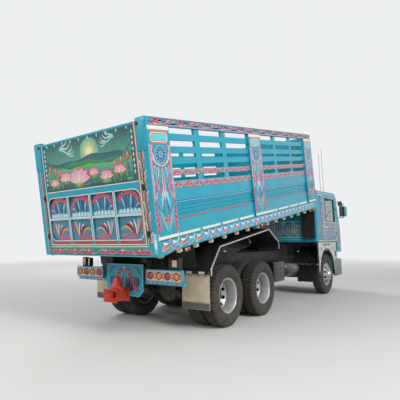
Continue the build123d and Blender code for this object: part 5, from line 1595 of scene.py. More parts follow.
@dataclass
class RearEnd:
    """What shows below the bed from behind: tow plate, lamp boxes, lamps, mud flaps and coupling fittings.

    Attributes:
        plate_x: The tow plate's rear face.
        box_x: The lamp boxes' rear face.
        bar_x: The rear face of the bars below them.
        lamp_first: The inner lamps' distance from the middle.
        lamp_pitch: From one lamp to the next.
        lamp_z: Their height.
        lamp_r: Their radius.
        flap_x: The mud flaps' rear face.
    """

    plate_x: float = -3.615
    box_x: float = -3.639
    bar_x: float = -3.586
    lamp_first: float = 0.590
    lamp_pitch: float = 0.167
    lamp_z: float = 0.928
    lamp_r: float = 0.060
    flap_x: float = -3.044

    def plate_art(self) -> None:
        """The tow plate: crimson leaves fall from its top in an arch over dark plumes."""
        art = Ornament(across(self.plate_x))
        half = np.array([(-0.400, 1.080), (-0.400, 0.664), (-0.316, 0.580)])
        art.line(np.concatenate([half, half[::-1] * (-1, 1)]), 0.008, Ink.AQUA, 2, closed=True)
        for side in (-1, 1):
            for k in range(5):
                art.leaf((side * (0.10 + 0.035 * k), 0.62 + 0.02 * k), 90 + side * (14 - 9 * k),
                         0.28 - 0.02 * k, 0.085, Ink.NIGHT, Ink.NAVY, Ink.DEEP_TEAL, bend=-side * 0.08,
                         layer=2 + 0.5 * k)
            for k in range(4):
                art.stroke([(side * (0.05 + 0.03 * k), 0.98), (side * (0.10 + 0.05 * k), 0.84),
                            (side * (0.07 + 0.07 * k), 0.66)], 0.010,
                           (Ink.SKY, Ink.AQUA, Ink.CREAM, Ink.TAN)[k], shape=Stroke.TAPER, layer=6)
            for k in range(6):
                base = (side * (0.03 + 0.044 * k), 1.010 - 0.062 * k)
                art.leaf(base, -90 + side * (34 - 3 * k), 0.100 - 0.006 * k, 0.042, *FIRE,
                         bend=side * 0.08, layer=9 + k % 2, rim=0.003)
                art.leaf((base[0] + side * 0.035, base[1] + 0.01), -90 + side * (58 - 4 * k), 0.075, 0.030,
                         Ink.NIGHT, Ink.NAVY, Ink.TAN, layer=7, rim=0.003)
            for k in range(3):
                art.stroke([(side * (0.20 + 0.05 * k), 1.03 - 0.03 * k),
                            (side * (0.27 + 0.04 * k), 1.05 - 0.05 * k),
                            (side * (0.34 + 0.015 * k), 1.00 - 0.05 * k)], 0.016, Ink.NAVY, Ink.BLACK,
                           layer=4)
        art.disc((0.0, 1.035), 0.032, Ink.TAN, Ink.CREAM, 12, petals=6, depth=0.35)
        art.finish("tow_plate_lines", "chassis")

    def box_art(self) -> None:
        """The lamp boxes: cream grounds in fine lines, flames along the bars, stripes on the brackets."""
        boxes = Ornament(across(self.box_x))
        bars = Ornament(across(self.bar_x))
        for side in (-1, 1):
            ends = apart(side, 0.518, 1.162)
            boxes.box(ends, (0.848, 1.010), Ink.CREAM, 1)
            for inset, ink in ((0.006, Ink.CRIMSON), (0.014, Ink.AQUA)):
                u0, u1 = ends[0] + inset, ends[1] - inset
                boxes.border((u0, u1), (0.848 + inset, 1.010 - inset), 0.004, ink, 2)
            for k in range(5):
                for v, turn in ((0.868, 90), (0.990, -90)):
                    spot = side * (self.lamp_first + self.lamp_pitch * (k - 0.5))
                    boxes.leaf((spot, v), turn, 0.050, 0.024, Ink.PINK, Ink.CRIMSON, Ink.TAN, layer=3)
            for k in range(7):
                spot = side * (0.52 + 0.094 * k)
                bars.flame((spot, 0.800), 8 if side > 0 else 172, 0.11, Ink.CREAM, Ink.SKY, Ink.DEEP_TEAL,
                           flip=side, layer=2, fat=0.22)
                bars.leaf((spot + side * 0.02, 0.818), 0 if side > 0 else 180, 0.06, 0.012, Ink.ORANGE,
                          Ink.CRIMSON, layer=4)
            for k in range(4):
                foot = 0.848 + 0.040 * k
                bars.line([(side * 0.438, foot), (side * 0.497, foot + 0.038)], 0.015, Ink.BLACK, 2)
        boxes.finish("lamp_box_lines", "chassis")
        bars.finish("lamp_bar_lines", "chassis")

    def lens(self, shape: Shape, centre, axis, r: float, rise: float) -> None:
        """A domed lens on a short round foot."""
        shape.turned(np.concatenate([dome(r, 0.004, rise, 7), [(r, 0.0), (0.0, 0.0)]]), centre, axis, 32)

    def bezel(self, shape: Shape, centre, axis, r: float, wide: float, deep: float) -> None:
        """A rounded ring round a lens."""
        shape.turned([(r - wide * 0.2, 0.0), (r + wide, 0.0), (r + wide, deep * 0.7),
                      (r + wide * 0.7, deep), (r + wide * 0.1, deep), (r - wide * 0.2, deep * 0.7)], centre,
                     axis, 32)

    def lamps(self) -> None:
        """Four rear lamps a side, red and amber by turns, and the two headlamps in the bumper."""
        red, amber, black, clear, chrome = Shape(), Shape(), Shape(), Shape(), Shape()
        for side in (-1, 1):
            for k in range(4):
                centre = (self.box_x, side * (self.lamp_first + self.lamp_pitch * k), self.lamp_z)
                self.bezel(black, centre, (-1, 0, 0), self.lamp_r - 0.008, 0.008, 0.012)
                self.lens(red if k % 2 == 0 else amber, centre, (-1, 0, 0), self.lamp_r - 0.007, 0.012)
            face = facing(BUMPER_FACE, side * 0.88, 0.69)
            chrome.slab(rounded(0.215, 0.195, 0.03), face, 0.0, 0.008, 0.003)
            clear.slab(rounded(0.190, 0.170, 0.025), face, 0.008, 0.014, 0.005, 3)
            turn = facing(BUMPER_FACE, side * 0.66, 0.69)
            chrome.slab(rounded(0.16, 0.11, 0.02), turn, 0.0, 0.008, 0.003)
            amber.slab(rounded(0.14, 0.09, 0.018), turn, 0.008, 0.013, 0.004, 2)
        red.finish("rear_lenses_red", "chassis", LENS_RED, "lamp_red", ("lamps",))
        amber.finish("lenses_amber", "chassis", LENS_AMBER, "lamp_red")
        black.finish("rear_lamp_rings", "chassis", TRIM_BLACK, "lamp_dark")
        clear.finish("headlamp_lenses", "chassis", LENS_CLEAR, "lamp_dark")
        chrome.finish("headlamp_rings", "chassis", STAINLESS, "bright_metal")

    def flaps(self) -> None:
        """The mud flaps: a sheet hung on a square bar, a dark band at its foot, two pale tabs above."""
        sheet, bar = Shape(), Shape()
        art = Ornament(across(self.flap_x))
        tabs = Ornament(across(self.flap_x - 0.017))
        for side in (-1, 1):
            middle = across(self.flap_x + 0.008, side * 1.025, 0.650)
            sheet.slab(rounded(0.528, 0.558, 0.018), middle, 0.0, 0.008, 0.0025, 2)
            end = along(side, 0.432, self.flap_x + 0.008, 0.955)
            bar.slab(rounded(0.050, 0.050, 0.007), end, 0.0, 0.857, 0.003)
            ends = apart(side, 0.766, 1.284)
            art.box(ends, (0.376, 0.478), Ink.UMBER, 1)
            art.level((ends[0] + 0.008, ends[1] - 0.008), 0.488, 0.006, Ink.UMBER, 1)
            art.line([(ends[0], 0.480), (ends[0], 0.925), (ends[1], 0.925), (ends[1], 0.480)], 0.005,
                     Ink.TAN, 1)
            for k in range(4):
                art.disc((ends[0] + 0.06 + 0.133 * k, 0.905), 0.009, Ink.BLACK, layer=3, steps=10)
            for u in (0.86, 1.10):
                tabs.box(apart(side, u, u + 0.11), (0.936, 0.974), Ink.CREAM, 1)
        sheet.finish("flap_sheets", "chassis", FLAP_CREAM, "flap_rubber", ("mud_flaps",))
        bar.finish("flap_bars", "chassis", CHASSIS_BLACK, "frame_black")
        art.finish("flap_bands", "chassis")
        tabs.finish("flap_tabs", "chassis")

    def fittings(self) -> None:
        """Bolts, tower and lugs of the coupling, and the boxes above the lamp boxes with their patches."""
        red, black = Shape(), Shape()
        for y in (-0.088, 0.088):
            for z in (0.512, 0.688):
                red.turned(stud(0.017, -0.003, 0.010, 0.014, 0.013), (-3.635, y, z), (-1, 0, 0), 6)
        red.turned([(0, -0.150), (0.088, -0.150), (0.090, -0.125), (0.082, -0.085), (0.066, -0.030),
                    (0.060, 0.0), (0.058, 0.012), (0.046, 0.034), (0.022, 0.040), (0.022, 0.052),
                    (0, 0.055)],
                   (-3.790, 0, 0.848), (0, 0, 1), 28)
        for side in (-1, 1):
            lug = along(side, 0.045, -3.790, 0.712)
            red.slab(rounded(0.120, 0.090, 0.030), lug, 0.0, 0.070, 0.016, 3)
        for u, width, high in ((1.017, 0.205, 0.19), (-1.030, 0.10, 0.16), (-0.905, 0.05, 0.15)):
            face = across(-3.520, -u, 1.023 + high / 2)
            black.slab(rounded(width, high, 0.012), face, 0.0, 0.085, 0.006, 2)
        red.finish("coupling_fittings", "chassis", COUPLING_RED, "coupling_red")
        black.finish("rear_boxes", "chassis", TRIM_BLACK, "trim_black")
        art = Ornament(across(-3.605))
        art.box((0.985, 1.075), (1.070, 1.170), Ink.CREAM, 1)
        art.border((0.985, 1.075), (1.070, 1.170), 0.006, Ink.TAN, 2)
        art.box((-1.065, -1.000), (1.040, 1.160), Ink.AMBER, 1, Ink.CREAM)
        art.box((-0.925, -0.885), (1.035, 1.160), Ink.CREAM, 1)
        art.finish("rear_box_patches", "chassis")

    def build(self) -> None:
        """Build it all."""
        self.plate_art()
        self.box_art()
        self.lamps()
        self.flaps()
        self.fittings()


@dataclass
class BedTrim:
    """The bed's small parts: bright mudguard edges, bearer tabs, side lamps, hinge covers and latches.

    Attributes:
        guard: The mudguard's line in s and z.
        guard_y: The middle of its bright edge.
        bearer_first: Where the first bearer lies along the bed.
        bearer_pitch: From one bearer to the next.
        side_lamps: Where the pairs of side lamps hang, in s and z.
    """

    guard: tuple = ((1.257, -0.556), (1.279, -0.444), (1.613, -0.147), (3.572, -0.130), (3.963, -0.437),
                    (3.971, -0.591))
    guard_y: float = 1.256
    bearer_first: float = 0.12
    bearer_pitch: float = 0.44
    side_lamps: tuple = ((0.68, -0.020), (3.29, 0.000), (6.32, 0.000))

    def shade_sheets(self) -> None:
        """Painted shade: dark sheets across the bed between its sills and the mudguards, closing the open
        gaps below the bed where shade lies.
        """
        sheet = Shape()
        for side in (-1, 1):
            sheet.slab(rounded(0.640, 0.370, 0.020), rear_canvas(1.10, side * 0.78, -0.215), 0.0, 0.006,
                       0.002)
            for s, wide, low in ((3.42, 1.06, -0.540), (2.25, 1.27, -0.450)):
                flat = bed_canvas(side, 0.616, s, (low - 0.150) / 2)
                sheet.slab(rounded(wide, -0.150 - low, 0.030), flat, 0.0, 0.005, 0.002)
        # These black sheets are painted shade under the bed, not real panels.
        sheet.finish("bed_shade_sheets", "bed", CHASSIS_BLACK, "frame_black")

    def edges(self) -> None:
        """The mudguards' bright edges: an oval carried along each run, with a ball where two runs meet."""
        bright = Shape()
        for side in (-1, 1):
            points = [bed_spot(s, side * self.guard_y, z) for s, z in self.guard]
            for first, second in zip(points[:-1], points[1:]):
                bright.tube(np.linspace(first, second, 3), 0.0175, 12)
            for point in points[1:-1]:
                a = np.linspace(-np.pi / 2, np.pi / 2, 7)
                bright.turned(0.0175 * np.stack([np.cos(a), np.sin(a)], axis=1), point, (0, 1, 0), 14)
        bright.finish("mudguard_edges", "bed", STAINLESS, "bright_metal")

    def tabs(self) -> None:
        """The painted ends of the cross bearers below the valance."""
        for side, word in SIDES:
            art = Ornament(bed_canvas(side, 1.2252))
            caps = Shape()
            for i in range(15):
                s = self.bearer_first + self.bearer_pitch * i
                caps.slab(rounded(0.105, 0.060, 0.010), bed_canvas(side, 1.215, s, -0.018), -0.030, 0.010,
                          0.004)
                art.box((s - 0.045, s - 0.020), (-0.040, 0.004), Ink.RED if i % 2 else Ink.NAVY, 1)
                art.box((s - 0.016, s - 0.008), (-0.040, 0.004), Ink.ORANGE, 1)
            caps.finish(f"bearer_caps_{word}", "bed", FLAP_CREAM, "flap_rubber")
            art.finish(f"bearer_tabs_{word}", "bed")

    def lamps(self) -> None:
        """Side lamps below the pillars: an amber and a red lens on one black plate."""
        amber, red, black = Shape(), Shape(), Shape()
        for side in (-1, 1):
            for s, z in self.side_lamps:
                black.slab(rounded(0.150, 0.076, 0.018), bed_canvas(side, 1.2615, s, z), -0.012, 0.006,
                           0.003)
                for shift, shape in ((-0.036, amber), (0.036, red)):
                    centre = bed_spot(s + shift, side * 1.2675, z)
                    shape.turned([(0, 0), (0.028, 0), (0.029, 0.006), (0.024, 0.012), (0.013, 0.016),
                                  (0, 0.017)],
                                 centre, (0, side, 0), 20)
        amber.finish("side_lenses_amber", "bed", LENS_AMBER, "lamp_red")
        red.finish("side_lenses_red", "bed", LENS_RED, "lamp_red")
        black.finish("side_lamp_plates", "bed", TRIM_BLACK, "lamp_dark")

    def hinges(self) -> None:
        """The covers over the tailgate's pins, the pins' knobs, a ring on each side, and the latches."""
        teal, iron = Shape(), Shape()
        for side in (-1, 1):
            teal.slab(rounded(0.160, 0.464, 0.014), rear_canvas(0.0, -side * 1.185, 1.672), 0.0, 0.014,
                      0.005, 2)
            iron.turned([(0, 0), (0.024, 0), (0.024, 0.008), (0.016, 0.014), (0.010, 0.022), (0, 0.024)],
                        bed_spot(-0.014, -side * 1.130, 1.83), -BED_ALONG, 20)
            teal.turned([(0.016, -0.006), (0.038, -0.006), (0.042, 0.0), (0.038, 0.006), (0.016, 0.006)],
                        bed_spot(6.33, side * 1.268, 1.66), (0, side, 0), 20)
            for v in (0.30, 0.95):
                iron.slab(rounded(0.044, 0.090, 0.008), rear_canvas(0.0, -side * 1.128, v), 0.0, 0.012,
                          0.003)
                iron.turned(stud(0.012, 0.010, 0.022, 0.008, 0.026), bed_spot(0.0, -side * 1.128, v),
                            -BED_ALONG, 12)
        teal.finish("hinge_covers", "bed", TEAL_ENAMEL, "body_teal")
        iron.finish("gate_latches", "bed", CHASSIS_BLACK, "frame_black")

    def build(self) -> None:
        """Build it all."""
        self.shade_sheets()
        self.edges()
        self.tabs()
        self.lamps()
        self.hinges()


@dataclass
class Underside:
    """Tanks, battery box, pipes and hoist in their real round forms.

    Attributes:
        fuel: Where the fuel tank starts, its length, width and height, and its middle in y and z.
        air: Where the air tank starts, its length and radius, and its middle in y and z.
        battery: The battery box's lowest and highest corners.
        bottles: Where the air bottles start, their radius and their length.
        bottle_spots: Their middles in y and z.
        hoist_foot: The hoist's lower pin.
        hoist_eye: Its upper eye, in s and z of the bed.
    """

    fuel: tuple = (0.141, 1.30, 0.62, 0.52, 0.81, 0.74)
    air: tuple = (0.591, 0.80, 0.178, -0.90, 0.78)
    battery: tuple = ((-0.109, -1.08, 0.56), (0.451, -0.52, 0.98))
    bottles: tuple = (-0.38, 0.083, 0.50)
    bottle_spots: tuple = ((-0.515, 0.80), (-0.515, 0.61), (0.515, 0.80))
    hoist_foot: tuple = (-2.009, 0.0, 0.75)
    hoist_eye: tuple = (3.9245, -0.1548)

    def tanks(self) -> None:
        """The tanks with their straps, filler cap, brackets and battery lid."""
        black, bright = Shape(), Shape()
        x, length, width, height, y, z = self.fuel
        black.slab(rounded(width, height, 0.085, 7), facing(x, y, z), 0.0, length, 0.018, 3)
        for start in (0.24, 0.98):
            bright.slab(rounded(width + 0.006, height + 0.006, 0.088, 7), facing(x + start, y, z), 0.0,
                        0.050, 0.002)
        bright.turned([(0, -0.02), (0.052, -0.02), (0.052, 0.028), (0.044, 0.036), (0, 0.038)],
                      (x + 0.64, y + 0.10, z + height / 2 - 0.003), (0, 0, 1), 24)
        x, length, r, y, z = self.air
        black.turned(bottle(r, length, 0.07, 6), (x, y, z), (1, 0, 0), 36)
        for start in (0.16, 0.60):
            bright.turned([(r - 0.004, 0), (r + 0.002, 0), (r + 0.002, 0.045), (r - 0.004, 0.045)],
                          (x + start, y, z), (1, 0, 0), 36)
        low, high = np.array(self.battery)
        middle = (low + high) / 2
        size = high - low
        face = lying(middle[0], middle[1], low[2])
        black.slab(rounded(size[0], size[1], 0.02), face, 0.0, size[2] - 0.05, 0.006)
        black.slab(rounded(size[0], size[1], 0.024), face, size[2] - 0.046, size[2], 0.008, 2)
        for k in range(4):
            rib = along(-1, -low[1], low[0] + 0.08 + 0.133 * k, low[2] + 0.18)
            black.slab(rounded(0.030, 0.27, 0.008), rib, -0.004, 0.004, 0.002)
        for start, y0, y1 in ((0.391, 0.42, 0.52), (1.141, 0.42, 0.52), (0.741, -0.73, -0.42),
                              (1.191, -0.73, -0.42), (-0.009, -0.54, -0.42), (0.291, -0.54, -0.42)):
            black.slab(rounded(0.050, 0.185, 0.008), along(1, y0, start + 0.025, 0.865), 0.0, y1 - y0,
                       0.003)
        black.finish("tanks", "chassis", TANK_BLACK, "frame_black", ("side_tanks",))
        bright.finish("tank_straps", "chassis", TANK_BLACK, "frame_black")

    def plumbing(self) -> None:
        """Air bottles, pipes and bolts along the rails, and the brake chambers on the driven axles."""
        black = Shape()
        x, r, length = self.bottles
        for y, z in self.bottle_spots:
            black.turned(bottle(r, length, 0.04, 5), (x, y, z), (1, 0, 0), 28)
            for start in (0.12, length - 0.16):
                hanger = along(math.copysign(1.0, y), 0.428, x + start, z + 0.03)
                black.slab(rounded(0.040, 0.22, 0.006), hanger, 0.0, 0.03, 0.003)
        for x in (REAR_AXLE, MID_AXLE):
            for side in (-1, 1):
                black.turned([(0, -0.16), (0.050, -0.155), (0.072, -0.13), (0.075, -0.02), (0.083, -0.015),
                              (0.083, 0.015), (0.075, 0.02), (0.072, 0.10), (0.045, 0.135), (0, 0.14)],
                             (x - 0.18, side * 0.385, AXLE_HEIGHT + 0.015), (1, 0, 0.05), 24)
        for y in (-0.436, 0.436):
            for z, r in ((1.005, 0.012), (0.975, 0.009)):
                black.tube(np.linspace((-3.40, y, z), (2.30, y, z), 6), r, 8)
        for x in np.arange(-2.2, 2.2, 0.55):
            for side in (-1, 1):
                black.turned(stud(0.017, 0, 0.010, 0.012, 0.014), (x, side * 0.430, 0.80), (0, side, 0), 6)
        black.finish("rail_plumbing", "chassis", CAST_IRON, "axle_iron")

    def hoist(self) -> None:
        """The hoist's barrel with its collars, and its chromed rod."""
        foot = np.array(self.hoist_foot)
        eye = bed_spot(self.hoist_eye[0], 0.0, self.hoist_eye[1])
        way = unit(eye - foot)
        barrel, rod = Shape(), Shape()
        barrel.turned([(0.0562, 0.10), (0.0562, 1.45), (0.072, 1.45), (0.078, 1.442), (0.078, 1.36),
                       (0.070, 1.35), (0.070, 0.20), (0.078, 0.19), (0.078, 0.06), (0.070, 0.04),
                       (0.058, 0.04)], foot, way, 32)
        barrel.turned([(0.0325, -0.09), (0.066, -0.09), (0.066, 0.09), (0.0325, 0.09)], foot, (0, 1, 0), 28)
        rod.turned([(0, 0), (0.0525, 0), (0.0525, 1.44), (0.046, 1.455), (0, 1.455)], eye - 1.5 * way, way,
                   32)
        rod.turned([(0.0305, -0.06), (0.054, -0.06), (0.054, 0.06), (0.0305, 0.06)], eye, (0, 1, 0), 28)
        barrel.finish("hoist_tube", "hoist_barrel", CHASSIS_BLACK, "frame_black", ("hoist_barrel",))
        rod.finish("hoist_ram", "hoist_rod", HARD_CHROME, "bright_metal", ("hoist_rod",))

    def build(self) -> None:
        """Build it all."""
        self.tanks()
        self.plumbing()
        self.hoist()


@dataclass
class Cab:
    """The cab's painting, glass seals, lamps, mirrors, steering wheel and other small parts.

    Attributes:
        half: The cab's half width.
        back: Its back wall's face.
        front: Its nose's face.
        windows: The door window's corners in u and v.
        mirror: The mirrors' post, in x and y.
        steering: The steering wheel's middle.
        column: The way that the steering column points.
        wells: Each step's middle in x and z, the size of its well and of its treads, and the treads' pitch
            and height.
        arch_middle: The middle of the front wheel arch, in x and z.
        roof_bar: The bar that carries the roof lamps, in x and z.
        guard: The front mudguard's line behind the wheel, in x from the front axle and z.
    """

    half: float = 1.190
    back: float = 2.471
    front: float = 4.491
    windows: tuple = ((3.171, 1.970), (3.171, 2.600), (3.946, 2.600), (3.996, 1.970))
    mirror: tuple = (4.151, 1.400)
    steering: tuple = (3.946, -0.600, 2.010)
    column: tuple = (-0.5, 0.0, 0.866)
    wells: tuple = (
        (3.146, 1.325, (0.66, 0.080), (0.630, 0.008), (0.020, 0.026)),
        (3.901, 1.060, (0.15, 0.180), (0.125, 0.010), (0.050, 0.028)),
    )
    arch_middle: tuple = (3.146, 0.600)
    roof_bar: tuple = (3.946, 2.850)
    guard: tuple = ((-0.660, 0.350), (-0.660, 0.900), (-0.470, 1.150), (-0.250, 1.270))

    def tapestry(self, art: Ornament, u: Span, v: Span, columns: int, rows: int) -> None:
        """Fill a field with pairs of flames and leaves, every second column raised by half a row."""
        wide = (u[1] - u[0]) / columns
        high = (v[1] - v[0]) / (rows + 0.5)
        grounds = (Ink.DEEP_TEAL, Ink.NAVY, Ink.STEEL)
        for k in range(columns):
            middle = u[0] + wide * (k + 0.5)
            art.stroke([(middle - wide * 0.3, v[0]), (middle + wide * 0.5, (v[0] + v[1]) / 2),
                        (middle - wide * 0.3, v[1])],
                       wide * 0.5, grounds[k % 3], grounds[(k + 1) % 3], shape=Stroke.LEAF, layer=1)
            for j in range(rows):
                foot = v[0] + high * (j + 0.5 * (k % 2)) + 0.005
                inks = ((Ink.CRIMSON, Ink.PINK), (Ink.BLUE, Ink.SKY), (Ink.MAGENTA, Ink.CREAM))[(j + k) % 3]
                for side in (-1, 1):
                    art.flame((middle + side * wide * 0.04, foot), 90 - side * 26, high * 1.05, inks[0],
                              inks[1], (Ink.PINK, Ink.CREAM)[k % 2], flip=side, layer=3)
                    art.leaf((middle + side * wide * 0.28, foot + high * 0.1), 90 - side * 8, high * 0.6,
                             wide * 0.12, (Ink.AQUA, Ink.SKY)[j % 2], Ink.WHITE, Ink.DEEP_TEAL, layer=6,
                             rim=0.003)
                art.leaf((middle, foot + high * 0.3), 90, high * 0.55, wide * 0.10,
                         Ink.GREEN if j % 2 else Ink.TEAL, Ink.MINT, Ink.NIGHT, layer=7, rim=0.003)
                art.disc((middle, foot + high * 0.22), wide * 0.05, Ink.ORANGE, Ink.AMBER, 9, steps=8)

    def strands(self, art: Ornament, u: Span, v: Span, inks: tuple) -> None:
        """Upright ribbons side by side that sway a little, each tapering at both ends."""
        wide = (u[1] - u[0]) / len(inks)
        for k, ink in enumerate(inks):
            x = u[0] + wide * (k + 0.5)
            sway = wide * 0.5 * (1 if k % 2 else -1)
            bends = ((0, 0), (1, 0.3), (-1, 0.7), (0, 1))
            points = [(x + sway * bend, v[0] + (v[1] - v[0]) * t) for bend, t in bends]
            art.stroke(points, wide * 0.75, ink, shape=Stroke.LEAF, layer=2 + 0.2 * k, steps=16)

    def painting(self) -> None:
        """The cab's sides, front corners, nose and back wall, and the doors below their windows."""
        ribbons = (Ink.BLUE, Ink.NAVY, Ink.SKY, Ink.DEEP_TEAL, Ink.VIOLET, Ink.NIGHT)
        for side, word in SIDES:
            wall = Ornament(along(side, self.half + 0.0002))
            self.strands(wall, (2.640, 2.800), (1.45, 2.64), ribbons)
            self.strands(wall, (2.995, 3.075), (1.45, 2.64), (Ink.CRIMSON, Ink.PINK, Ink.CREAM))
            self.tapestry(wall, (2.790, 3.000), (1.450, 2.640), 1, 8)
            self.tapestry(wall, (2.555, 2.655), (1.450, 1.950), 1, 5)
            self.tapestry(wall, (4.110, 4.425), (1.150, 1.930), 3, 6)
            for edge, ink in ((1.425, Ink.CREAM), (2.668, Ink.CREAM)):
                wall.level((2.540, 3.080), edge, 0.014, ink, 2)
            wall.finish(f"cab_side_ornament_{word}", "cab")
            door = Ornament(along(side, self.half + 0.0002))
            self.tapestry(door, (3.125, 4.055), (1.435, 1.955), 8, 4)
            door.border((3.115, 4.065), (1.425, 1.948), 0.012, Ink.CREAM, 8)
            door.line([(3.135, 1.965), (3.135, 2.655), (3.990, 2.655)], 0.010, Ink.PINK, 2)
            door.finish(f"door_ornament_{word}", f"door_{word}")
        back = Ornament(across(self.back - 0.0002))
        self.tapestry(back, (-1.07, 0.76), (1.55, 1.93), 13, 3)
        for edge, ink in ((1.53, Ink.CREAM), (1.95, Ink.CREAM), (2.05, Ink.DEEP_TEAL), (1.47, Ink.PINK)):
            back.level((-1.10, 0.78), edge, 0.012, ink, 8)
        back.finish("cab_back_ornament", "cab")
        nose = Ornament(facing(self.front + 0.0002))
        for side in (-1, 1):
            self.tapestry(nose, apart(side, 0.70, 1.13), (1.14, 1.90), 3, 6)
        BedSides().rail(nose, (-0.62, 0.62), (1.64, 1.74))
        for k in range(6):
            for side in (-1, 1):
                nose.flame((side * 0.03 + side * 0.10 * k, 1.78), 90 - side * 62, 0.15, Ink.CRIMSON,
                           Ink.PINK, Ink.CREAM, flip=side, layer=3)
        nose.finish("cab_nose_ornament", "cab")

    def seals(self) -> None:
        """Rubber seals round the glass, and the doors' handles."""
        for side, word in SIDES:
            rubber, grip = Shape(), Shape()
            y = side * (self.half - 0.001)
            corners = [np.array([u, y, v]) for u, v in self.windows]
            for first, second in zip(corners, corners[1:] + corners[:1]):
                rubber.tube(np.linspace(first, second, 3), 0.011, 8)
            rubber.slab(rounded(0.170, 0.070, 0.020), along(side, self.half - 0.001, 3.230, 1.800), 0.0,
                        0.006, 0.003)
            grip.tube([(3.165, y, 1.800), (3.180, y + side * 0.026, 1.800),
                       (3.230, y + side * 0.032, 1.800), (3.280, y + side * 0.026, 1.800),
                       (3.295, y, 1.800)], 0.010, 10, 0.7)
            rubber.finish(f"window_seals_{word}", f"door_{word}", TRIM_BLACK, "trim_black")
            grip.finish(f"door_handle_{word}", f"door_{word}", STAINLESS, "bright_metal")

    def mirrors(self) -> None:
        """Mirrors: chromed arms, a teal shell with its glass behind, and a round chromed one above it."""
        chrome, teal, glass = Shape(), Shape(), Shape()
        x, y = self.mirror
        for side in (-1, 1):
            post = side * y
            for z in (2.090, 2.560):
                chrome.tube([(x, side * 1.185, z), (x, side * 1.25, z), (x, side * 1.36, z), (x, post, z)],
                            0.011)
            chrome.tube(np.linspace((x, post, 2.076), (x, post, 2.574), 4), 0.0138, 12)
            arm = facing(x - 0.002, side * 1.305, 2.325).backed()
            chrome.slab(rounded(0.016, 0.47, 0.006), arm, 0.0, 0.010, 0.002)
            for wide, high, corner, out, z, shell in (
                (0.20, 0.30, 0.040, 1.39, 2.270, teal), (0.17, 0.17, 0.080, 1.335, 2.500, chrome),
            ):
                shell.slab(rounded(wide, high, corner), facing(x - 0.040, side * out, z), 0.0, 0.080, 0.030,
                           4)
                face = facing(x - 0.0395, side * out, z).backed()
                glass.slab(rounded(wide - 0.034, high - 0.034, corner - 0.012), face, 0.0, 0.004, 0.001)
        chrome.finish("mirror_arms", "cab", STAINLESS, "bright_metal", ("mirrors",))
        teal.finish("mirror_shells", "cab", TEAL_ENAMEL, "body_teal")
        glass.finish("mirror_glass", "cab", MIRROR_GLASS, "bright_metal")

    def roof(self) -> None:
        """The roof bar with its four lamps, the aerials, drip rails, marker lamps and horns."""
        chrome, black, clear = Shape(), Shape(), Shape()
        x, z = self.roof_bar
        chrome.tube([(x, y, z) for y in (-0.80, -0.40, 0.0, 0.40, 0.80)], 0.0150, 14)
        for y in (-0.76, 0.0, 0.76):
            chrome.tube([(x, y, 2.795), (x, y, 2.82), (x, y, z)], 0.012, 10)
            chrome.turned([(0, 0), (0.030, 0), (0.028, 0.006), (0.014, 0.010), (0, 0.010)], (x, y, 2.796),
                          (0, 0, 1), 16)
        for y in (-0.60, -0.22, 0.22, 0.60):
            black.turned([(0, -0.038), (0.030, -0.036), (0.060, -0.024), (0.074, 0.0), (0.077, 0.026),
                          (0.077, 0.034), (0.069, 0.034), (0.066, 0.026), (0, 0.026)], (x, y, 2.910),
                         (1, 0, 0), 32)
            lens = np.concatenate([dome(0.0665, 0.026, 0.012, 6), [(0.0665, 0.022), (0.0, 0.022)]])
            clear.turned(lens, (x, y, 2.910), (1, 0, 0), 32)
        for y, top in ((-1.06, 4.06), (-0.98, 3.92)):
            black.tube(np.linspace((3.55, y, 2.765), (3.50, y, top), 6), 0.0042, 6)
            black.turned([(0, 0), (0.016, 0), (0.013, 0.020), (0.007, 0.050), (0, 0.055)], (3.55, y, 2.750),
                         (0, 0, 1), 14)
        for side in (-1, 1):
            chrome.slab(rounded(1.50, 0.018, 0.006), along(side, self.half - 0.002, 3.30, 2.718), 0.0,
                        0.012, 0.003)
        for x in (3.40, 3.65, 3.90):
            for y in (-1.10, 1.10):
                black.turned([(0, -0.01), (0.040, -0.01), (0.042, 0.012), (0.034, 0.020), (0, 0.020)],
                             (x, y, 2.752), (0, 0, 1), 20)
                chrome.turned([(0, 0.018), (0.032, 0.018), (0.029, 0.040), (0.018, 0.055), (0, 0.060)],
                              (x, y, 2.752), (0, 0, 1), 20)
        for y, start in ((-0.90, 3.30), (-0.80, 3.42)):
            chrome.turned([(0, 0.0), (0.030, 0.0), (0.034, 0.030), (0.014, 0.050), (0.015, 0.35),
                           (0.022, 0.43), (0.045, 0.50), (0.052, 0.505), (0.044, 0.498), (0.018, 0.42),
                           (0, 0.40)],
                          (start, y, 2.845), (1, 0, 0), 24)
            for x in (start + 0.04, start + 0.36):
                chrome.turned([(0, 0), (0.012, 0), (0.008, 0.05), (0, 0.05)], (x, y, 2.790), (0, 0, 1), 10)
        chrome.finish("roof_bar", "cab", STAINLESS, "bright_metal", ("roof_lamps",))
        black.finish("roof_lamp_shells", "cab", TRIM_BLACK, "lamp_dark")
        clear.finish("roof_lenses", "cab", LENS_CLEAR, "lamp_dark")

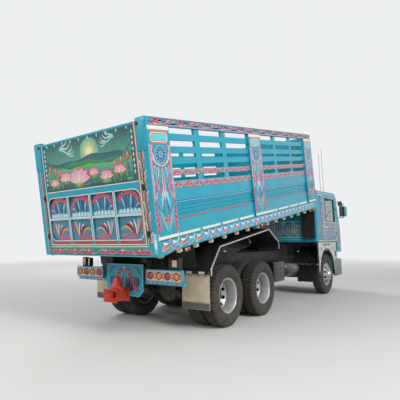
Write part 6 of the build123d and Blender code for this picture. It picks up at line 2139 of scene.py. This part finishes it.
    def nose(self) -> None:
        """The front: mesh and bars of the grille, wipers, blank plate and the bumper's lines."""
        chrome, black, white = Shape(), Shape(), Shape()
        black.slab(rounded(1.225, 0.420, 0.010), facing(4.456, 0.0, 1.400), 0.0, 0.006, 0.002)
        for z in (1.24, 1.32, 1.40, 1.48, 1.56):
            for edge in (-0.0195, 0.0195):
                chrome.slab(rounded(1.262, 0.007, 0.002), facing(self.front, 0.0, z + edge), -0.004, 0.005,
                            0.002)
            for edge in (-0.6245, 0.6245):
                chrome.slab(rounded(0.007, 0.046, 0.002), facing(self.front, edge, z), -0.004, 0.005, 0.002)
        for side in (-1, 1):
            spindle = np.array([4.4500, side * 0.55 + 0.10, 1.905])
            black.turned([(0, -0.02), (0.022, -0.02), (0.022, 0.010), (0.014, 0.020), (0, 0.022)], spindle,
                         (1, 0, 0.3), 16)
            tip = np.array([4.372, side * 0.55 - 0.32, 2.185])
            black.tube(np.linspace(spindle + (0.012, 0, 0.006), tip, 4), 0.008, 8)
            blade = np.linspace(tip + (0.040, 0.10, -0.125), tip + (-0.052, -0.13, 0.17), 4)
            black.tube(blade - (0.004, 0, 0), 0.007, 8)
        white.slab(rounded(0.44, 0.14, 0.012), facing(BUMPER_FACE, 0.0, 0.55), 0.0, 0.006, 0.002)
        for z in (0.865, 0.470):
            chrome.slab(rounded(1.90, 0.022, 0.006), facing(BUMPER_FACE, 0.0, z), 0.0, 0.006, 0.003)
        black.slab(rounded(1.10, 0.17, 0.020), facing(BUMPER_FACE, 0.0, 0.715), 0.0, 0.004, 0.002)
        chrome.finish("grille_bars", "cab", STAINLESS, "bright_metal")
        black.finish("grille_mesh_and_wipers", "cab", TRIM_BLACK, "trim_black")
        white.finish("blank_plate", "chassis", FLAP_CREAM, "flap_rubber")

    def holes(self) -> None:
        """Painted shade for the step panels' rows of round holes: black discs for the dark inside of each
        hole; and the pale leaves behind them.
        """
        for side, word in SIDES:
            art = Ornament(along(side, self.half + 0.0002))
            for row in range(2):
                for k in range(7):
                    for u in (2.520 + 0.040 * k, 3.520 + 0.042 * k):
                        # Black discs: painted shade standing for the inside of the holes.
                        art.disc((u, 1.235 - 0.045 * row), 0.011, Ink.BLACK, layer=1, steps=10)
            for k in range(3):
                art.leaf((2.50 + 0.09 * k, 1.04), 90, 0.10, 0.05, Ink.SKY, Ink.WHITE, Ink.STEEL, layer=1)
            art.finish(f"step_hole_shade_{word}", "chassis")

    def skins(self) -> None:
        """The front mudguards' clean skins, and the bumper's chrome corners, darkened as a painted
        reflection of the dark ground.
        """
        guards, corners = Shape(), Shape()
        guard = np.array(self.guard) + (FRONT_AXLE, 0.0)
        for first, second in zip(guard[:-1], guard[1:]):
            run = np.array([second[0] - first[0], 0.0, second[1] - first[1]])
            long = np.linalg.norm(run)
            out = np.array([-run[2], 0.0, run[0]]) / long
            for side in (-1, 1):
                middle = np.array([(first[0] + second[0]) / 2, side * 0.875, (first[1] + second[1]) / 2])
                skin = Canvas(middle, -LEFT, run / long, out)
                guards.slab(rounded(0.548, long + 0.002, 0.003), skin, 0.0082, 0.0105, 0.0006)
        for side in (-1, 1):
            corners.slab(rounded(0.575, 0.450, 0.030), along(side, self.half, 4.141, 0.665), 0.0002, 0.004,
                         0.003)
            slant = unit((-0.110, side * 0.180, 0.0))
            bevel = Canvas(np.array([self.front, side * (self.half - 0.090), 0.665]), slant, UP,
                           unit((0.180, side * 0.110, 0.0)))
            corners.slab(rounded(0.195, 0.450, 0.020), bevel, 0.0002, 0.004, 0.003)
            infill = along(side, self.half - 0.060, 4.095, 0.992)
            guards.slab(rounded(0.200, 0.176, 0.020), infill, -0.020, 0.020, 0.006, 2)
        guards.finish("front_guard_skins", "chassis", TANK_BLACK, "frame_black")
        # The bumper's corners carry a painted reflection: their chrome's colour is darkened to the dark
        # ground.
        corners.finish("bumper_corners", "chassis", BUMPER_CHROME, "bright_metal")

    def arch(self, ends: Span, r: float, y: float, steps: int) -> np.ndarray:
        """Points round the wheel arch, between two angles in degrees."""
        a = np.radians(np.linspace(*ends, steps))
        x, z = self.arch_middle
        return np.stack([x + r * np.cos(a), np.full(steps, y), z + r * np.sin(a)], 1)

    def steps(self) -> None:
        """The step panels' dark wells with ribbed treads, their raised beads, and the arch's two lips."""
        black, bright, pale = Shape(), Shape(), Shape()
        for side in (1, -1):
            inner = self.half - 0.034
            for x, z, well, tread, (pitch, high) in self.wells:
                black.slab(rounded(*well, 0.010), along(side, inner, x, z), 0.0, 0.006, 0.002)
                for v in (z - pitch, z, z + pitch):
                    bright.slab(rounded(*tread, 0.003), along(side, inner, x, v), 0.006, high, 0.002)
            for v, width in ((1.372, 1.44), (1.276, 1.40)):
                bright.slab(rounded(width, 0.010, 0.003), along(side, self.half, 3.225, v), 0.0, 0.004,
                            0.002)
            bright.tube(self.arch((2, 178), 0.632, side * (self.half - 0.003), 40), 0.010, 8)
            pale.tube(self.arch((98, 176), 0.610, side * (self.half - 0.030), 26), 0.022, 10, 0.8)
        black.finish("step_wells", "chassis", TRIM_BLACK, "trim_black")
        bright.finish("step_treads", "chassis", STAINLESS, "bright_metal")
        pale.finish("arch_lips", "chassis", FLAP_CREAM, "flap_rubber")

    def inside(self) -> None:
        """The steering wheel, a round rim on three spokes, and the instruments' dials."""
        rim, trim = Shape(), Shape()
        middle = np.array(self.steering)
        axis = unit(self.column)
        down = unit(np.cross(LEFT, axis))
        a = full_turn(10)
        rim.turned(np.stack([0.215 + 0.0145 * np.cos(a), 0.0145 * np.sin(a)], axis=1), middle, axis, 48)
        hub = [(0, -0.0295), (0.040, -0.0295), (0.042, -0.010), (0.040, 0.004), (0.028, 0.010), (0, 0.012)]
        rim.turned(hub, middle, axis, 28)
        for way in (LEFT, -LEFT, down):
            rim.tube([middle + way * 0.030, middle + way * 0.10 - axis * 0.004, middle + way * 0.212],
                     0.013, 10, 0.6)
        rim.finish("steering_rim", "steering_wheel", TRIM_BLACK, "trim_black", ("steering_wheel",))
        for k in range(3):
            spot = np.array([4.115, -0.72 + 0.12 * k, 1.862])
            trim.turned([(0, 0), (0.048, 0), (0.048, 0.006), (0.042, 0.008), (0.040, 0.004), (0, 0.004)],
                        spot, (-0.75, 0, 0.66), 24)
        trim.finish("dash_dials", "cab", TRIM_BLACK, "trim_black")

    def build(self) -> None:
        """Build it all."""
        self.painting()
        self.seals()
        self.mirrors()
        self.roof()
        self.nose()
        self.holes()
        self.skins()
        self.steps()
        self.inside()


@dataclass
class Seats:
    """Two cab seats: a crowned cushion and back each, in woven cloth, on a moulded pedestal.

    Attributes:
        x: The place of the seats' hips.
        ys: The middles of both seats.
        width: A seat's width.
        voxel: The size of the remesh, in metres.
        cap: How far a point may swell, in metres.
    """

    x: float = 3.146
    ys: tuple = (-0.600, 0.600)
    width: float = 0.50
    voxel: float = 0.010
    cap: float = 0.024

    def pad(self, name: str, canvas: Canvas, high: float, thick: float) -> Piece:
        """One pad: a rounded slab, swollen by a short cloth simulation but nowhere beyond the cap.

        Args:
            name: The piece's name.
            canvas: The face that its back rests on, with its middle.
            high: Its height on that face.
            thick: Its thickness before it swells.

        Returns:
            The pad, with its place in its mesh.
        """
        form = Shape()
        form.slab(rounded(self.width - 0.05, high, 0.055, 5), canvas, 0.0, thick, 0.030, 4)
        made = form.finish(name, "cab", SEAT_CLOTH, "seat_cloth")
        bpy.context.view_layer.objects.active = made
        remesh = made.modifiers.new("remesh", "REMESH")
        remesh.mode = "VOXEL"
        remesh.voxel_size = self.voxel
        self.settle(made)
        before = self.places(made.data)
        cloth = made.modifiers.new("cloth", "CLOTH")
        cloth.settings.use_pressure = True
        cloth.settings.uniform_pressure_force = 4.0
        cloth.settings.effector_weights.gravity = 0.0
        scene = bpy.context.scene
        for step in range(1, 21):
            scene.frame_set(step)
        self.settle(made)
        scene.frame_set(1)
        after = self.places(made.data)
        shift = after - before
        far = np.linalg.norm(shift, axis=1, keepdims=True)
        moved = before + shift * np.minimum(1.0, self.cap / np.maximum(far, 1e-9))
        made.data.vertices.foreach_set("co", moved.ravel())
        made.data.update()
        made.data.shade_smooth()
        smooth = made.modifiers.new("smooth", "SUBSURF")
        smooth.levels = smooth.render_levels = 1
        return made

    def settle(self, piece: Piece) -> None:
        """Put what the piece's modifiers make into its mesh, and take them off."""
        graph = bpy.context.evaluated_depsgraph_get()
        graph.update()
        mesh = bpy.data.meshes.new_from_object(piece.evaluated_get(graph))
        piece.modifiers.clear()
        piece.data = mesh

    def places(self, mesh: bpy.types.Mesh) -> np.ndarray:
        """The mesh's points as one array."""
        found = np.empty(len(mesh.vertices) * 3)
        mesh.vertices.foreach_get("co", found)
        return found.reshape(-1, 3)

    def copied(self, piece: Piece, name: str, shift: float) -> Piece:
        """A second pad like the first, its mesh moved along y."""
        twin = piece.copy()
        twin.data = piece.data.copy()
        twin.name = name
        places = self.places(twin.data) + (0.0, shift, 0.0)
        twin.data.vertices.foreach_set("co", places.ravel())
        twin.data.update()
        bpy.context.scene.collection.objects.link(twin)
        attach(twin, "cab")
        return twin

    def build(self) -> None:
        """Build both seats and their pedestals."""
        y = self.ys[0]
        shift = self.ys[1] - self.ys[0]
        seat = Canvas(np.array([self.x + 0.315, y, 1.722]), LEFT, unit((1.0, 0.0, 0.03)),
                      unit((-0.03, 0.0, 1.0)))
        back = Canvas(np.array([self.x + 0.020, y, 2.160]), LEFT, unit((-0.135, 0.0, 1.0)),
                      unit((1.0, 0.0, 0.135)))
        cushion = self.pad("seat_cushion_right", seat, 0.47, 0.090)
        rest = self.pad("seat_back_right", back, 0.56, 0.075)
        self.copied(cushion, "seat_cushion_left", shift)
        self.copied(rest, "seat_back_left", shift)
        base = Shape()
        for y in self.ys:
            foot = lying(self.x + 0.26, y, 1.441)
            base.slab(rounded(0.36, 0.36, 0.04), foot, 0.0, 0.245, 0.02, 2)
            base.slab(rounded(0.50, 0.46, 0.05), foot, 0.240, 0.275, 0.010, 2)
            shell = replace(back, origin=back.origin + (0.0, y - self.ys[0], 0.0))
            base.slab(rounded(0.44, 0.60, 0.06), shell, -0.030, -0.002, 0.010, 2)
            for post in (y - 0.18, y + 0.18):
                base.tube([(self.x + 0.06, post, 1.70), (self.x + 0.01, post, 1.80),
                           (self.x - 0.005, post, 1.95)], 0.014)
        base.finish("seat_frames", "cab", TRIM_BLACK, "trim_black", ("seats",))


@dataclass
class Studio:
    """The camera at the photograph's place, a pale floor, and plain soft lamps.

    Attributes:
        floor_half: Half of the floor's width.
        aim_height: The height that the lamps are aimed at.
        lamps: Each lamp's name, place, size and watts.
    """

    floor_half: float = 60.0
    aim_height: float = 1.6
    lamps: tuple = (
        ("key_lamp", (-6.0, -13.0, 10.0), 7.0, 1850.0),
        ("back_lamp", (-14.0, 3.0, 8.0), 7.0, 700.0),
        ("far_lamp", (9.0, 12.0, 10.0), 8.0, 900.0),
    )

    def camera(self) -> None:
        """Place the camera. Its shift is that of the photograph's off-centre crop."""
        yaw, pitch, roll = (math.radians(v) for v in (CAMERA_YAW, CAMERA_PITCH, CAMERA_ROLL))
        ahead = np.array([math.cos(yaw) * math.cos(pitch), math.sin(yaw) * math.cos(pitch),
                          math.sin(pitch)])
        level = unit(np.cross(ahead, UP))
        above = np.cross(level, ahead)
        right = level * math.cos(roll) + above * math.sin(roll)
        up = above * math.cos(roll) - level * math.sin(roll)
        data = bpy.data.cameras.new("camera")
        data.sensor_width = SENSOR_MM
        data.lens = FOCAL_PIXELS / IMAGE * SENSOR_MM
        data.shift_x = (IMAGE / 2 - CENTRE_U) / IMAGE
        data.shift_y = (CENTRE_V - IMAGE / 2) / IMAGE
        data.clip_end = 500.0
        made = linked("camera", data)
        place = Matrix(np.stack([right, up, -ahead], axis=1).tolist()).to_4x4()
        place.translation = (REAR_AXLE + CAMERA_AHEAD, CAMERA_LEFT, CAMERA_HIGH)
        made.matrix_world = place
        bpy.context.scene.camera = made

    def floor(self) -> None:
        """Lay a wide pale floor that keeps the truck's shadow."""
        half = self.floor_half
        mesh = bpy.data.meshes.new("floor")
        mesh.from_pydata([(-half, -half, 0), (half, -half, 0), (half, half, 0), (-half, half, 0)], [],
                         [(0, 1, 2, 3)])
        made = linked("floor", mesh)
        PAINTSHOP.dress(made,
                        StudioFloor("studio_floor_matt", "#D3D1CD", "#CFCDC9", (0.8, 0.9),
                                    grain_depth_mm=0.0))

    def world(self) -> None:
        """Light the scene evenly, and show a pale backdrop to the camera, in metal and through glass."""
        world = bpy.data.worlds.new("studio")
        bpy.context.scene.world = world
        world.use_nodes = True
        tree = world.node_tree
        tree.nodes.clear()
        rays = add_node(tree, "ShaderNodeLightPath").outputs
        seen = paired(tree, "MAXIMUM", rays["Is Camera Ray"], rays["Is Transmission Ray"])
        seen = paired(tree, "MAXIMUM", seen, rays["Is Glossy Ray"])
        light = add_node(tree, "ShaderNodeBackground",
                         {"Color": linear("#E9EEF4"), "Strength": 0.52}).outputs[0]
        backdrop = add_node(tree, "ShaderNodeBackground",
                            {"Color": linear(BACKDROP), "Strength": 1.0}).outputs[0]
        mixed = add_node(tree, "ShaderNodeMixShader", {0: seen, 1: light, 2: backdrop}).outputs[0]
        add_node(tree, "ShaderNodeOutputWorld", {"Surface": mixed})

    def lamp(self, name: str, place: tuple[float, float, float], size: float, watts: float) -> None:
        """Hang one square soft lamp, aimed at the truck's middle."""
        data = bpy.data.lights.new(name, "AREA")
        data.size = size
        data.energy = watts
        made = linked(name, data)
        aim = unit(np.array(place) - (0.0, 0.0, self.aim_height))
        side = unit(np.cross(UP, aim))
        turn = Matrix(np.stack([side, np.cross(aim, side), aim], axis=1).tolist()).to_4x4()
        turn.translation = place
        made.matrix_world = turn

    def build(self) -> None:
        """Set up the camera, floor, lamps and view settings."""
        bpy.context.scene.view_settings.view_transform = "Standard"
        self.camera()
        self.floor()
        self.world()
        for row in self.lamps:
            self.lamp(*row)


def main() -> None:
    """Build the truck's looks piece by piece."""
    logging.basicConfig(level=logging.INFO, format="%(name)s: %(message)s")
    Studio().build()
    PAINTSHOP.dress_frame()
    BedSides().build()
    Tailgate().build()
    RunningGear().build()
    RearEnd().build()
    BedTrim().build()
    Underside().build()
    Cab().build()
    Seats().build()


if __name__ == "__main__":
    main()
